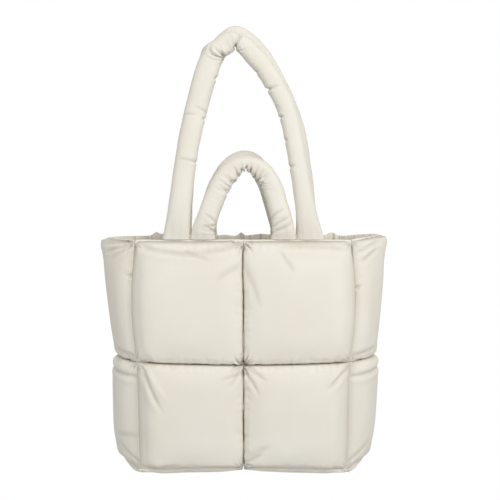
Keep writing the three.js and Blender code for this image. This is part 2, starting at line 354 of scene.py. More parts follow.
@dataclass(frozen=True)
class NylonCloth:
    """Smooth ivory nylon with a fine plain weave."""

    name: str
    colour: tuple[float, float, float] = (0.77, 0.745, 0.675)
    warmth: tuple[float, float, float] = (0.97, 0.945, 0.89)
    # Painted shade: the dark colour that creases and seam hollows are blended towards, and how
    # strongly
    crease_shade_colour: tuple[float, float, float] = (0.36, 0.32, 0.25)
    crease_shade_strength: float = 0.85
    crease_roughness: float = 0.12
    shade_range: float = 0.014
    patch_scale: float = 14.0
    patch_detail: float = 3.0
    patch_strength: float = 1.4
    fleck_scale: float = 900.0
    fleck_detail: float = 2.0
    fleck_strength: float = 0.5
    roughness: float = 0.64
    roughness_range: float = 0.10
    thread: float = 0.42 * MM
    thread_depth: float = 0.012 * MM
    thread_strength: float = 0.5
    crinkle: float = 11 * MM
    crinkle_depth: float = 0.05 * MM
    crinkle_strength: float = 0.6
    sheen: float = 0.12
    sheen_roughness: float = 0.45
    gloss: float = 0.32

    def material(self) -> bpy.types.Material:
        """Builds the material. It reads the piece's UV map, in metres, and its mask of painted
        crease shade, which darkens the colour and roughens it.
        """
        made, nodes = new_material(self.name)
        place = nodes.add("ShaderNodeTexCoord")
        shade_mark = nodes.add("ShaderNodeAttribute", {"attribute_name": "crease_shade"})
        crease_shade = nodes.value(shade_mark, "Fac")
        patches = self._noise(nodes, place, self.patch_scale, self.patch_detail) - 0.5
        flecks = self._noise(nodes, place, self.fleck_scale, self.fleck_detail) - 0.5
        shade = patches * self.patch_strength + flecks * self.fleck_strength
        light = tuple(min(1.0, c * (1 + self.shade_range)) for c in self.colour)
        dark = tuple(c * w * (1 - self.shade_range) for c, w in zip(self.colour, self.warmth))
        cloth = nodes.blend((shade + 0.5).clipped(), (*dark, 1), (*light, 1))
        # Painted shade, darkening the cloth's colour in creases and hollows
        painted_shade = (crease_shade * self.crease_shade_strength).clipped()
        rough = self.roughness + patches * self.roughness_range + crease_shade * self.crease_roughness
        inputs = {
            "Base Color": nodes.blend(painted_shade, cloth, (*self.crease_shade_colour, 1)),
            "Roughness": rough.clipped(),
            "Normal": self._relief(nodes, place),
            "Sheen Weight": self.sheen,
            "Sheen Roughness": self.sheen_roughness,
            "Specular IOR Level": self.gloss,
        }
        nodes.surface("ShaderNodeBsdfPrincipled", inputs)
        return made

    def _noise(self, nodes: Nodes, place: bpy.types.Node, scale: float, detail: float) -> Value:
        """Noise of about 0 to 1 through space."""
        inputs = {"Vector": place.outputs["Object"], "Scale": scale, "Detail": detail}
        return nodes.value(nodes.add("ShaderNodeTexNoise", {}, inputs), "Fac")

    def _relief(self, nodes: Nodes, place: bpy.types.Node) -> Value:
        """The weave and the fine crinkles as one normal."""
        split = nodes.add("ShaderNodeSeparateXYZ", {}, {0: place.outputs["UV"]})
        turn = math.pi / self.thread
        weave = (nodes.value(split, 0) * turn).sine() * (nodes.value(split, 1) * turn).sine()
        crinkle = self._noise(nodes, place, 1 / self.crinkle, self.patch_detail)
        sizes = {"Strength": self.crinkle_strength, "Distance": self.crinkle_depth}
        coarse = nodes.add("ShaderNodeBump", {}, {**sizes, "Height": crinkle})
        sizes = {"Strength": self.thread_strength, "Distance": self.thread_depth}
        joined = {**sizes, "Height": weave, "Normal": coarse.outputs[0]}
        return nodes.value(nodes.add("ShaderNodeBump", {}, joined))


@dataclass(frozen=True)
class Thread:
    """The spun thread of the topstitching."""

    name: str = "thread"
    colour: tuple[float, float, float] = (0.72, 0.685, 0.60)
    shade: float = 0.82
    roughness: float = 0.7
    twist: float = 0.5 * MM

    def material(self) -> bpy.types.Material:
        """Builds the material."""
        made, nodes = new_material(self.name)
        place = nodes.add("ShaderNodeTexCoord")
        split = nodes.add("ShaderNodeSeparateXYZ", {}, {0: place.outputs["Object"]})
        slant = nodes.value(split, 0) + nodes.value(split, 1) + nodes.value(split, 2)
        twist = (slant * (2 * math.pi / self.twist)).sine() * 0.5 + 0.5
        dark = tuple(c * self.shade for c in self.colour)
        colour = nodes.blend(twist, (*dark, 1), (*self.colour, 1))
        inputs = {"Base Color": colour, "Roughness": self.roughness}
        nodes.surface("ShaderNodeBsdfPrincipled", inputs)
        return made


@dataclass(frozen=True)
class Paper:
    """The plain pale paper of the floor and backdrop."""

    name: str = "paper"
    glow: float = 1.0

    def material(self) -> bpy.types.Material:
        """Builds the material."""
        made, nodes = new_material(self.name)
        nodes.surface("ShaderNodeEmission", {"Color": (1, 1, 1, 1), "Strength": self.glow})
        return made


# Meshes and cloth


def placed(name: str, data: bpy.types.ID) -> bpy.types.Object:
    """Adds an object that shows some data to the scene."""
    made = bpy.data.objects.new(name, data)
    bpy.context.collection.objects.link(made)
    return made


def aimed(name: str, data: bpy.types.ID, eye: Vector, aim: Vector) -> bpy.types.Object:
    """Adds a lamp or a camera that stands at one point and faces another."""
    made = placed(name, data)
    made.location = eye
    made.rotation_euler = (aim - eye).to_track_quat("-Z", "Y").to_euler()
    return made


def make_piece(
    name: str,
    points: Array,
    faces: Sequence[Sequence[int]],
    uvs: Array,
    creases: Array,
    material: bpy.types.Material,
) -> bpy.types.Object:
    """Makes a smooth mesh object at the origin.

    Args:
        name: The object's name.
        points: Its vertices, in metres.
        faces: Lists of vertex indices, facing out.
        uvs: A cloth coordinate for each vertex, in metres.
        creases: How much painted crease shade each vertex gets, from 0 to 1.
        material: Its finish.

    Returns:
        The object, linked to the scene.
    """
    mesh = bpy.data.meshes.new(name)
    mesh.from_pydata(points.tolist(), [], [list(map(int, face)) for face in faces])
    mesh.polygons.foreach_set("use_smooth", np.ones(len(mesh.polygons), bool))
    corners = np.empty(len(mesh.loops), np.int32)
    mesh.loops.foreach_get("vertex_index", corners)
    mesh.uv_layers.new(name="cloth").data.foreach_set("uv", uvs[corners].ravel())
    # Painted shade: the mask that darkens the cloth's colour in creases and hollows
    attribute = mesh.attributes.new("crease_shade", "FLOAT", "POINT")
    attribute.data.foreach_set("value", np.clip(creases, 0, 1).astype(np.float32))
    mesh.materials.append(material)
    return placed(name, mesh)


def declare(piece: bpy.types.Object, node: str = "") -> None:
    """Tells the frame what a finished piece is, and reports it.

    Args:
        piece: The piece.
        node: The CAD node that it replaces, if it replaces one.
    """
    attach(piece, "root")
    if node:
        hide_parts(node)
    log.info("%s: %d faces", piece.name, len(piece.data.polygons))


@dataclass(frozen=True)
class ClothPress:
    """Blows stuffing into cloth whose edges are sewn down."""

    pressure: float = 6.0
    slack: float = 0.002
    bending: float = 0.15
    tension: float = 20.0
    shear: float = 8.0
    quality: int = 5
    frames: int = 20
    mass: float = 0.02
    hold: float = 1.0
    stretch_damping: float = 10.0
    bending_damping: float = 1.0
    air_damping: float = 6.0

    def relax(
        self,
        points: Array,
        faces: Sequence[Sequence[int]],
        held: Array,
        rest: Array | None = None,
    ) -> Array:
        """Runs the cloth until it settles.

        Args:
            points: The vertices of a closed mesh, in metres.
            faces: Its faces, facing out.
            held: How firmly each vertex is held in place, from 0 to 1.
            rest: The vertices that the cloth was cut to, where that isn't the mesh itself.

        Returns:
            The settled vertices.
        """
        mesh = bpy.data.meshes.new("pressed")
        mesh.from_pydata(points.tolist(), [], [list(map(int, face)) for face in faces])
        piece = placed("pressed", mesh)
        group = piece.vertex_groups.new(name="sewn")
        for weight in np.unique(held[held > 0]):
            group.add(np.flatnonzero(held == weight).tolist(), float(weight), "REPLACE")
        modifier = piece.modifiers.new("cloth", "CLOTH")
        self._set(modifier)
        if rest is not None:
            piece.shape_key_add(name="as_hung")
            key = piece.shape_key_add(name="as_cut")
            key.data.foreach_set("co", rest.ravel())
            modifier.settings.rest_shape_key = key
        modifier.point_cache.frame_start = 1
        modifier.point_cache.frame_end = self.frames
        for number in range(1, self.frames + 1):
            bpy.context.scene.frame_set(number)
        settled = piece.evaluated_get(bpy.context.evaluated_depsgraph_get())
        made = np.empty(len(mesh.vertices) * 3)
        settled.data.vertices.foreach_get("co", made)
        bpy.data.objects.remove(piece)
        bpy.data.meshes.remove(mesh)
        bpy.context.scene.frame_set(1)
        return made.reshape(-1, 3)

    def _set(self, modifier: bpy.types.Modifier) -> None:
        """Sets the cloth's own values."""
        cloth = modifier.settings
        cloth.vertex_group_mass = "sewn"
        cloth.pin_stiffness = self.hold
        cloth.quality = self.quality
        cloth.mass = self.mass
        cloth.tension_stiffness = cloth.compression_stiffness = self.tension
        cloth.shear_stiffness = self.shear
        cloth.bending_stiffness = self.bending
        cloth.tension_damping = cloth.compression_damping = self.stretch_damping
        cloth.shear_damping = self.stretch_damping
        cloth.bending_damping = self.bending_damping
        cloth.air_damping = self.air_damping
        cloth.shrink_min = cloth.shrink_max = -self.slack
        cloth.use_pressure = True
        cloth.uniform_pressure_force = self.pressure
        cloth.effector_weights.gravity = 0.0
        modifier.collision_settings.use_collision = False
        modifier.collision_settings.use_self_collision = False


# Body


@dataclass(frozen=True)
class Ring:
    """A seam that runs round the body, in metres."""

    height: float
    front: float
    rear: float
    depth: float
    flare: float
    rise: float = 0.0
    dip: float = 0.0
    corner_drop: float = 0.0
    left_tuck: float = 0.0
    left_sag: float = 0.0


@dataclass(frozen=True)
class Column:
    """A stretch of one side, from one upright seam to the next."""

    name: str
    side: Side
    start: float
    stop: float


@dataclass(frozen=True)
class Fold:
    """A fold in a stuffed square, from one share across and up it to another.

    Its width, depth and bow are in millimetres.
    """

    start: tuple[float, float]
    end: tuple[float, float]
    width: float
    depth: float
    kind: FoldKind = FoldKind.VALLEY
    bow: float = 0.0


@dataclass(frozen=True)
class SeamNet:
    """The seams between the stuffed squares. Its middle is halfway along the front hem."""

    panel_width: float = 326 * MM
    gusset_width: float = 150 * MM
    body_height: float = 358 * MM
    hem_height: float = 10 * MM
    base_drop: float = 16 * MM
    flare_power: float = 1.4
    dip_power: float = 1.6
    corner_power: int = 4
    corner_reach: float = 0.25
    wander: float = 1.1 * MM
    wander_length: float = 90 * MM
    seam_gap: float = 0.5 * MM
    upper_bulge: float = 8 * MM
    base_tilt: float = 0.5
    top_blend: tuple[float, float] = (0.82, 0.98)

    @property
    def place(self) -> Array:
        """Where the middle of the bag's lowest level is in the frame."""
        low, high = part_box("hem_front")
        return np.array([(low[0] + high[0]) / 2, 0.0, high[2] - self.body_height])

    @property
    def mouth(self) -> Ring:
        """The seam under the hem."""
        return Ring(
            height=self.body_height - self.hem_height,
            front=self.panel_width / 2,
            rear=0.95 * self.panel_width / 2,
            depth=0.67 * self.gusset_width / 2,
            flare=0.345 * self.gusset_width,
            rise=0.04 * self.gusset_width,
            left_sag=5 * MM,
        )

    @property
    def waist(self) -> Ring:
        """The seam halfway up."""
        return Ring(
            height=mix(self.base_drop, self.mouth.height, 0.475),
            front=0.985 * self.panel_width / 2,
            rear=0.98 * self.panel_width / 2,
            depth=0.89 * self.gusset_width / 2,
            flare=0.235 * self.gusset_width,
            dip=4 * MM,
            left_tuck=7 * MM,
        )

    @property
    def base(self) -> Ring:
        """The seam round the base."""
        return Ring(
            height=self.base_drop,
            front=0.965 * self.panel_width / 2,
            rear=0.965 * self.panel_width / 2,
            depth=0.94 * self.gusset_width / 2,
            flare=0.205 * self.gusset_width,
            corner_drop=6 * MM,
        )

    def ring_points(self, ring: Ring, side: Side, s: Array) -> Array:
        """Points of a ring at shares along one side of it."""
        s = np.asarray(s, float)
        if side.is_panel:
            turn = 1 if side is Side.FRONT else -1
            half = ring.front if side is Side.FRONT else ring.rear
            sunk = ring.dip * (1 - np.abs(2 * s - 1) ** self.dip_power)
            x, y, z = turn * mix(-half, half, s), -turn * ring.depth + 0 * s, ring.height - sunk
        else:
            turn = 1 if side is Side.RIGHT else -1
            to_rear = s if side is Side.RIGHT else 1 - s
            bow = 1 - np.abs(2 * s - 1) ** self.flare_power
            on_left = side is Side.LEFT
            flare = ring.flare - ring.left_tuck * on_left
            rise = ring.rise - ring.left_sag * on_left
            x = turn * (mix(ring.front, ring.rear, to_rear) + bow * flare)
            y, z = mix(-ring.depth, ring.depth, to_rear), ring.height + bow * rise
        z = z - ring.corner_drop * np.abs(2 * s - 1) ** self.corner_power
        return self.place + np.stack([x, y, z], axis=-1)

    def side_normals(self, ring: Ring, side: Side, s: Array) -> Array:
        """The level directions straight out of one side of a ring."""
        step = 0.01
        ahead = self.ring_points(ring, side, np.clip(s + step, 0, 1))
        along = ahead - self.ring_points(ring, side, np.clip(s - step, 0, 1))
        return unit(np.stack([along[..., 1], -along[..., 0], 0 * along[..., 2]], axis=-1))

    def outward(self, ring: Ring, side: Side, s: Array) -> Array:
        """The directions that stuffing pushes out in, shared with the next side at a corner."""
        s = np.asarray(s, float)
        straight = self.side_normals(ring, side, s)
        corners = []
        for step, own, other in ((-1, 0.0, 1.0), (1, 1.0, 0.0)):
            next_door = self.side_normals(ring, side.beside(step), np.array(other))
            corners.append(unit(next_door + self.side_normals(ring, side, np.array(own))))
        corner = np.where((s < 0.5)[..., None], corners[0], corners[1])
        return unit(mix(straight, corner, self.near_corner(s)[..., None]))

    def near_corner(self, s: Array) -> Array:
        """How near a share along a side is to a corner of the bag, from 0 to 1."""
        return 1 - smooth(to_end(s), 0, self.corner_reach)

    def drift(self, side: Side, height: Array) -> Array:
        """How far the middle seam of a panel strays, as a share of the panel's width."""
        stray = Noise(31 + side.value, self.wander_length).along(height * self.body_height)
        return self.wander * stray * np.clip(to_end(height) * 8, 0, 1) / self.panel_width

    def wall(self, column: Column, rings: tuple[Ring, Ring], u: Array, v: Array) -> Pair:
        """The seam surface of a stuffed square of a wall.

        Args:
            column: The stretch of the side.
            rings: The rings under and over it.
            u: Shares from its first upright seam to its second.
            v: Shares from the lower ring to the upper one.

        Returns:
            The surface's points, and the directions that stuffing pushes out in.
        """
        under, over = rings
        height = mix(under.height, over.height, v) / self.body_height
        stray = self.drift(column.side, height) if column.side.is_panel else 0 * height
        start = column.start + stray * (column.start == 0.5)
        stop = column.stop + stray * (column.stop == 0.5)
        s = mix(start, stop, u)
        low = self.ring_points(under, column.side, s)
        high = self.ring_points(over, column.side, s)
        share = v[..., None]
        normals = [self.side_normals(ring, column.side, s) for ring in rings]
        out = mix(*normals, share)
        points = mix(low, high, share)
        if under == self.base:
            out = out + UP * self.base_tilt * (smooth(share, 0, self.corner_reach) - 1)
        else:
            bulge = self.upper_bulge * self.near_corner(s) * np.clip(4 * v * (1 - v), 0, 1)
            points[..., 0] += bulge * np.sign(points[..., 0] - self.place[0])
            out = mix(out, self.outward(over, column.side, s), smooth(share, *self.top_blend))
        return points, unit(out)

    def floor(self, side: Side, u: Array, v: Array) -> Pair:
        """The seam surface of one half of the base, and the directions out of it.

        Args:
            side: The side that this half lies under.
            u: Shares along the side, from the rear on the right and from the front on the left.
            v: Shares from the seam under the side to the middle seam.

        Returns:
            The surface's points, and the directions that stuffing pushes out in.
        """
        s = 1 - u
        to_rear = s if side is Side.RIGHT else u
        half = np.full_like(u, 0.5)
        ends = [self.ring_points(self.base, panel, half) for panel in (Side.FRONT, Side.REAR)]
        middle = mix(*ends, to_rear[..., None])
        points = mix(self.ring_points(self.base, side, s), middle, v[..., None])
        ways = []
        for panel, nearness in ((Side.FRONT, 1 - to_rear), (Side.REAR, to_rear)):
            run = v / 2 if (panel is Side.FRONT) == (side is Side.LEFT) else 1 - v / 2
            edge = self.ring_points(self.base, panel, run)
            lift = (edge[..., 2] - points[..., 2]) * smooth(nearness, 0.6, 1.0)
            points = points + UP * lift[..., None]
            ways.append(self.outward(self.base, panel, run))
        near_side = (1 - smooth(v, 0, self.corner_reach))[..., None]
        near_panel = self.near_corner(s)[..., None]
        panel_way = np.where((to_rear < 0.5)[..., None], *ways)
        level = self.outward(self.base, side, s) * near_side + panel_way * near_panel
        return points, unit(level / np.maximum(near_side + near_panel, 1) - UP)


@dataclass
class Puff:
    """One stuffed square of the body: an outer sheet, an inner sheet and the seam between.

    The four openings say how widely the crack at its left, right, lower and upper seam opens
    out, seen from outside: little where a neighbour lies flush, and much at a bag's corner.
    """

    name: str
    surface: Surface
    width: float
    height: float
    loft: float
    press: ClothPress
    top_ease: float = 0.0
    base_ease: float = 0.0
    side_ease: float = 0.0
    folds: tuple[Fold, ...] = ()
    seed: int = 0
    fill: float = 0.75
    cells: int = 52
    corner_from: float = 0.5
    flush_below: float = 0.3
    crowding: float = 0.08
    gap: float = 0.5 * MM
    thickness: float = 3 * MM
    lining_loft: float = 5 * MM
    squareness: float = 6.0
    slow_squareness: float = 2.2
    slow_power: float = 0.8
    corner_thinning: float = 0.9
    thinning_reach: float = 0.05
    edge_reach: tuple[float, float] = (0.9, 1.0)
    step_weight: float = 0.8
    easing: int = 60
    calm_reach: tuple[float, float] = (9 * MM, 26 * MM)
    corner_reach: tuple[float, float] = (10 * MM, 26 * MM)
    corner_softness: float = 0.12
    flatness: float = 0.75
    flat_from: float = 0.84
    flat_round: float = 2 * MM
    shoulder_easing: int = 40
    shoulder_reach: tuple[float, float] = (14 * MM, 30 * MM)
    contact_round: float = 0.5 * MM
    squeeze: float = 0.9 * MM
    squeeze_reach: tuple[float, float] = (2 * MM, 16 * MM)
    pucker: float = 0.5 * MM
    pucker_at: float = 5 * MM
    pucker_width: float = 7 * MM
    ripple: float = 11 * MM
    openings: tuple[float, float, float, float] = (0.12, 0.12, 0.12, 0.12)
    widest_opening: float = 7.5 * MM
    top_edge: float = 0.0
    overhang: float = 0.0
    overhang_from: float = 0.72
    top_path: Array | None = None
    stitch_dent: float = 0.7 * MM
    stitch_dent_width: float = 3.4 * MM
    gather: float = 3.0 * MM
    gather_at: float = 7 * MM
    gather_width: float = 9 * MM
    gather_waves: tuple[int, int, int] = (11, 17, 23)
    swell: float = 0.3 * MM
    swell_length: float = 75 * MM
    # Painted shade in the crease mask: along tight seams, beside the bag's corners, in the gathers
    # and in the valley folds
    seam_shade: float = 0.85
    seam_shade_width: float = 2.4 * MM
    corner_shade: float = 0.3
    corner_shade_width: float = 4.5 * MM
    gather_shade: float = 0.35
    fold_shade: float = 0.25

    # Where the upper seam stands among the four
    TOP = 3

    def shares(self) -> Array:
        """Shares from 0 to 1 that crowd a little towards both ends."""
        even = np.linspace(0, 1, self.cells + 1)
        return even - self.crowding * np.sin(2 * math.pi * even) / (2 * math.pi)

    def from_corners(self, shares: Array) -> list[Array]:
        """The shares, counted from each upright seam that is a corner of the bag."""
        counted = zip((shares, 1 - shares), self.openings)
        return [share for share, opening in counted if opening > self.corner_from]

    def fullness(self, share: Array, ease: float = 0.0) -> Array:
        """How full the square is between two seams.

        Args:
            share: Shares from one seam to the other.
            ease: How much more slowly it fills from the second seam, from 0 to 1.

        Returns:
            0 on the seams and 1 in the middle.
        """
        past = np.abs(2 * share - 1)
        tight = np.sqrt(np.clip(1 - past**self.squareness, 0, 1))
        slow = np.clip(1 - past**self.slow_squareness, 0, 1) ** self.slow_power
        return np.where(share > 0.5, mix(tight, slow, ease), tight)

    def base_out(self, shares: Array) -> Array:
        """How far the outer sheet stands out of the seams before it is stuffed."""
        near_top = smooth(shares, *self.edge_reach)
        thin = np.zeros(len(shares))
        for share in self.from_corners(shares):
            thin += self.corner_thinning * (1 - smooth(share, 0, self.thinning_reach))
        below_top = 1 - near_top * (self.top_edge > 0)
        sheet = self.thickness / 2 * (1 - thin[:, None] * below_top[None, :])
        return sheet + self.top_edge * near_top[None, :]

    def surface_grid(self, shares: Array) -> Pair:
        """The seam surface over a grid, set in from its seams by half the gap."""
        insets = [self.gap / 2 / length for length in (self.width, self.height)]
        u, v = (mix(inset, 1 - inset, shares) for inset in insets)
        return self.surface(*np.meshgrid(u, v, indexing="ij"))

    def settle(self) -> Array:
        """Blows up the outer sheet and gives its grid of points."""
        shares = self.shares()
        points, out = self.surface_grid(shares)
        across = self.fullness(shares, self.side_ease)
        across = np.minimum(across, across[::-1])
        up = self.fullness(shares, self.top_ease)
        up = np.minimum(up, self.fullness(shares, self.base_ease)[::-1])
        swell = across[:, None] * up[None, :]
        outer = points + out * (self.base_out(shares) + self.loft * swell)[..., None]
        drawn_up = self.overhang * smooth(shares, self.overhang_from, 1.0)
        outer = outer + UP * drawn_up[None, :, None]
        count = self.cells + 1
        rim = rim_of(count, count)
        middle = points[count // 2, count // 2]
        under = [[b, a, count * count] for a, b in zip(rim, np.roll(rim, -1))]
        held = np.zeros(count * count + 1)
        held[rim] = held[-1] = 1.0
        everything = np.concatenate([outer.reshape(-1, 3), middle[None]])
        faces = [*grid_faces(count, count).tolist(), *under]
        return self.press.relax(everything, faces, held)[:-1].reshape(count, count, 3)

    def eased(self, grid: Array, shares: Array) -> Array:
        """Calms the middle of the sheet, and softens it along the corners of the bag."""
        near = to_end(shares)
        inside = np.minimum(near[:, None] * self.width, near[None, :] * self.height)
        weight = smooth(inside, *self.calm_reach)
        for share in self.from_corners(shares):
            beside = 1 - smooth(share * self.width, *self.corner_reach)
            weight = np.maximum(weight, self.corner_softness * beside[:, None])
        return relaxed(grid, self.step_weight * weight[1:-1, 1:-1, None], self.easing)

    def flattened(self, grid: Array, shares: Array) -> Array:
        """Flattens the middle of the sheet, where the stuffing is spread evenly."""
        points, out = self.surface_grid(shares)
        height = ((grid - points) * out).sum(axis=-1, keepdims=True)
        past = height - self.flat_from * height.max()
        over = (past + np.sqrt(past**2 + self.flat_round**2)) / 2
        return grid - out * self.flatness * over

    def rounded(self, grid: Array, shares: Array) -> Array:
        """Rounds the shoulders along the corners of the bag."""
        weight = np.zeros(len(shares))
        for share in self.from_corners(shares):
            weight += 1 - smooth(share * self.width, *self.shoulder_reach)
        weight = self.step_weight * weight[1:-1, None, None]
        return relaxed(grid, weight, self.shoulder_easing)

    def walls(self) -> list[Pair]:
        """The four seams as points and the directions into this square, square to the seam."""
        share = np.linspace(0, 1, 2 * self.cells + 1)
        zero, one = np.zeros_like(share), np.ones_like(share)
        middle = self.surface(np.array([0.5]), np.array([0.5]))[0][0]
        found = []
        for u, v in ((zero, share), (one, share), (share, zero), (share, one)):
            points, out = self.surface(u, v)
            inward = unit(np.cross(np.gradient(points, axis=0), out))
            inward = inward * np.sign(((middle - points) * inward).sum(axis=-1, keepdims=True))
            found.append((points, inward))
        return found

    def pressed(self, grid: Array) -> Array:
        """Keeps the sheet on its own side of each seam, as its neighbours do."""
        points = grid.reshape(-1, 3).copy()
        rows = np.arange(len(points))
        walls = list(zip(self.walls(), self.openings))
        for (seam, inward), opening in walls[: self.TOP] if self.overhang else walls:
            away = points[:, None, :] - seam[None]
            nearest = np.argmin((away**2).sum(axis=-1), axis=1)
            away = away[rows, nearest]
            direction = inward[nearest]
            distance = (away * direction).sum(axis=-1)
            height = np.linalg.norm(away - distance[:, None] * direction, axis=-1)
            spread = opening * np.clip(height - self.thickness, 0, None)
            soft = self.contact_round + np.minimum(spread, self.widest_opening)
            beside = 1 - smooth(distance, *self.squeeze_reach)
            above = smooth(height, self.thickness, 2.5 * self.thickness)
            squeeze = self.squeeze * beside * above * (opening < self.flush_below)
            past = distance - self.gap / 2 - squeeze
            near = smooth(-height, -3 * self.thickness, -self.thickness / 2)
            soft = mix(soft, 0.15 * self.contact_round, near)
            kept = (past + np.sqrt(past**2 + soft**2)) / 2
            points += direction * (kept - past - squeeze)[:, None]
        return points.reshape(grid.shape)

    def folded(self, grid: Array, shares: Array) -> Pair:
        """Adds the folds and the puckers beside the seams, and paints shade along the seams, the
        bag's corners, the gathers and the valley folds.

        Args:
            grid: The sheet's points.
            shares: The grid's shares.

        Returns:
            The points, and how much painted crease shade each one gets.
        """
        x, y = np.meshgrid(shares * self.width, shares * self.height, indexing="ij")
        lift, crease_shade = np.zeros(x.shape), np.zeros(x.shape)
        for fold in self.folds:
            moved, deep = self.fold_shape(fold, x, y)
            lift += moved
            crease_shade += deep
        ripple = Noise(self.seed + 7, self.ripple)
        edges = ((x, y), (self.width - x, y), (y, x), (self.height - y, x))
        for number, ((distance, run), opening) in enumerate(zip(edges, self.openings)):
            if number == self.TOP and self.overhang:
                from_top = bell(distance - 1.1 * self.overhang, self.stitch_dent_width)
                lift -= self.stitch_dent * (1 + 0.7 * ripple.along(run)) * from_top
            near = bell(distance - self.pucker_at, self.pucker_width)
            lift += self.pucker * ripple.along(run + 3 * self.width) * near * (1 - opening)
            inside = smooth(np.minimum(run, run.max() - run), 2 * MM, 12 * MM)
            # Painted shade along tight seams, weaker near their ends, and along the bag's corners
            seam = self.seam_shade * bell(distance, self.seam_shade_width)
            crease_shade += seam * (0.2 + 0.8 * inside) * max(0.0, 1 - 2 * opening)
            corner = self.corner_shade * bell(distance, self.corner_shade_width)
            crease_shade += corner * (opening > self.corner_from)
        for number, (far_x, far_y) in enumerate(((0, 0), (1, 0), (0, 1), (1, 1))):
            calm = (1 - 0.65 * self.openings[far_x]) * (1 - 0.9 * self.openings[2 + far_y])
            feet = self.crow_feet(x - far_x * self.width, y - far_y * self.height, number)
            lift += feet * calm
            # Painted shade in the hollows of the gathers
            crease_shade += np.clip(-feet * calm / self.gather - 0.1, 0, 1) * self.gather_shade
        swell = Noise(self.seed + 11, self.swell_length)(grid) * self.swell
        inside = self.fullness(shares)[:, None] * self.fullness(shares)[None, :]
        lift += swell * inside
        return grid + grid_normals(grid) * lift[..., None], crease_shade

    def crow_feet(self, x: Array, y: Array, number: int) -> Array:
        """The small gathers that run out of a corner where seams meet."""
        phases = np.random.default_rng(self.seed + 40 + number).uniform(0, 2 * math.pi, 3)
        reach = np.hypot(x, y)
        angle = np.arctan2(np.abs(y), np.abs(x)) + 0.12 * np.sin(reach / (6 * MM))
        waves = sum(np.sin(n * angle + phase) for n, phase in zip(self.gather_waves, phases))
        near = bell(reach - self.gather_at, self.gather_width) * smooth(reach, 0, 5 * MM)
        return self.gather * waves / 1.6 * near

    def fold_shape(self, fold: Fold, x: Array, y: Array) -> Pair:
        """One fold's lift, and the painted shade in it where it is a valley, over the square."""
        width, depth = fold.width * MM, fold.depth * MM
        start = np.array(fold.start) * (self.width, self.height)
        run = np.array(fold.end) * (self.width, self.height) - start
        length = np.linalg.norm(run)
        run = run / length
        along = ((x - start[0]) * run[0] + (y - start[1]) * run[1]) / length
        bowed = fold.bow * MM * np.clip(4 * along * (1 - along), 0, 1)
        across = (x - start[0]) * -run[1] + (y - start[1]) * run[0] - bowed
        ends = smooth(along, -0.08, 0.2) * (1 - smooth(along, 0.65, 1.08))
        core = bell(across, width / 2)
        shoulders = bell(np.abs(across) - 1.3 * width, 0.8 * width)
        if fold.kind is FoldKind.VALLEY:
            lift = depth * ends * (0.35 * shoulders - core)
            return lift, ends * core * self.fold_shade
        return depth * ends * (core - 0.2 * shoulders), 0 * core

    def stitch_line(self, grid: Array) -> Array:
        """The line on the sheet where the hem is stitched down."""
        down = np.linalg.norm(np.diff(grid, axis=1), axis=2)[:, ::-1].cumsum(axis=1)
        nearest = grid.shape[1] - 2 - np.argmin(np.abs(down - self.overhang * 0.85), axis=1)
        rows = np.arange(len(grid))
        return (grid[rows, nearest] + grid_normals(grid)[rows, nearest] * 0.1 * MM)[3:-3]

    def lining(self, shares: Array) -> Array:
        """The inner sheet, which sags a little between the seams."""
        points, out = self.surface_grid(shares)
        sag = self.lining_loft * self.fullness(shares)[:, None] * self.fullness(shares)[None, :]
        sag = sag * (1 + 0.35 * Noise(self.seed + 3, 60 * MM)(points))
        return points - out * (self.thickness / 2 + sag)[..., None]

    def build(self, material: bpy.types.Material) -> bpy.types.Object:
        """Makes the stuffed square as one closed piece.

        Args:
            material: Its finish.

        Returns:
            The piece, before it is declared.
        """
        coarse, fine = self.shares(), doubled(self.shares(), 0)
        grid = self.flattened(self.eased(self.settle(), coarse), coarse)
        grid = self.pressed(doubled(doubled(grid, 0), 1))
        grid, crease_shade = self.folded(self.rounded(grid, fine), fine)
        grid = self.pressed(grid)
        if self.overhang:
            self.top_path = self.stitch_line(grid)
        many, few = len(fine), len(coarse)
        faces = grid_faces(many, many).tolist()
        faces += grid_faces(few, few, many * many)[:, ::-1].tolist()
        rims = rim_of(many, many), many * many + rim_of(few, few)
        ring, back = (np.append(rim, rim[0]) for rim in rims)
        for k in range(len(back) - 1):
            faces.append([ring[2 * k + 2], ring[2 * k + 1], ring[2 * k], back[k], back[k + 1]])
        uvs = [pairs(shares * self.width, shares * self.height) for shares in (fine, coarse)]
        points = np.concatenate([grid.reshape(-1, 3), self.lining(coarse).reshape(-1, 3)])
        # Painted crease shade on the outer sheet only
        creases = np.concatenate([crease_shade.ravel(), np.zeros(few * few)])
        name = f"{self.name}_cloth"
        return make_piece(name, points, faces, np.concatenate(uvs), creases, material)


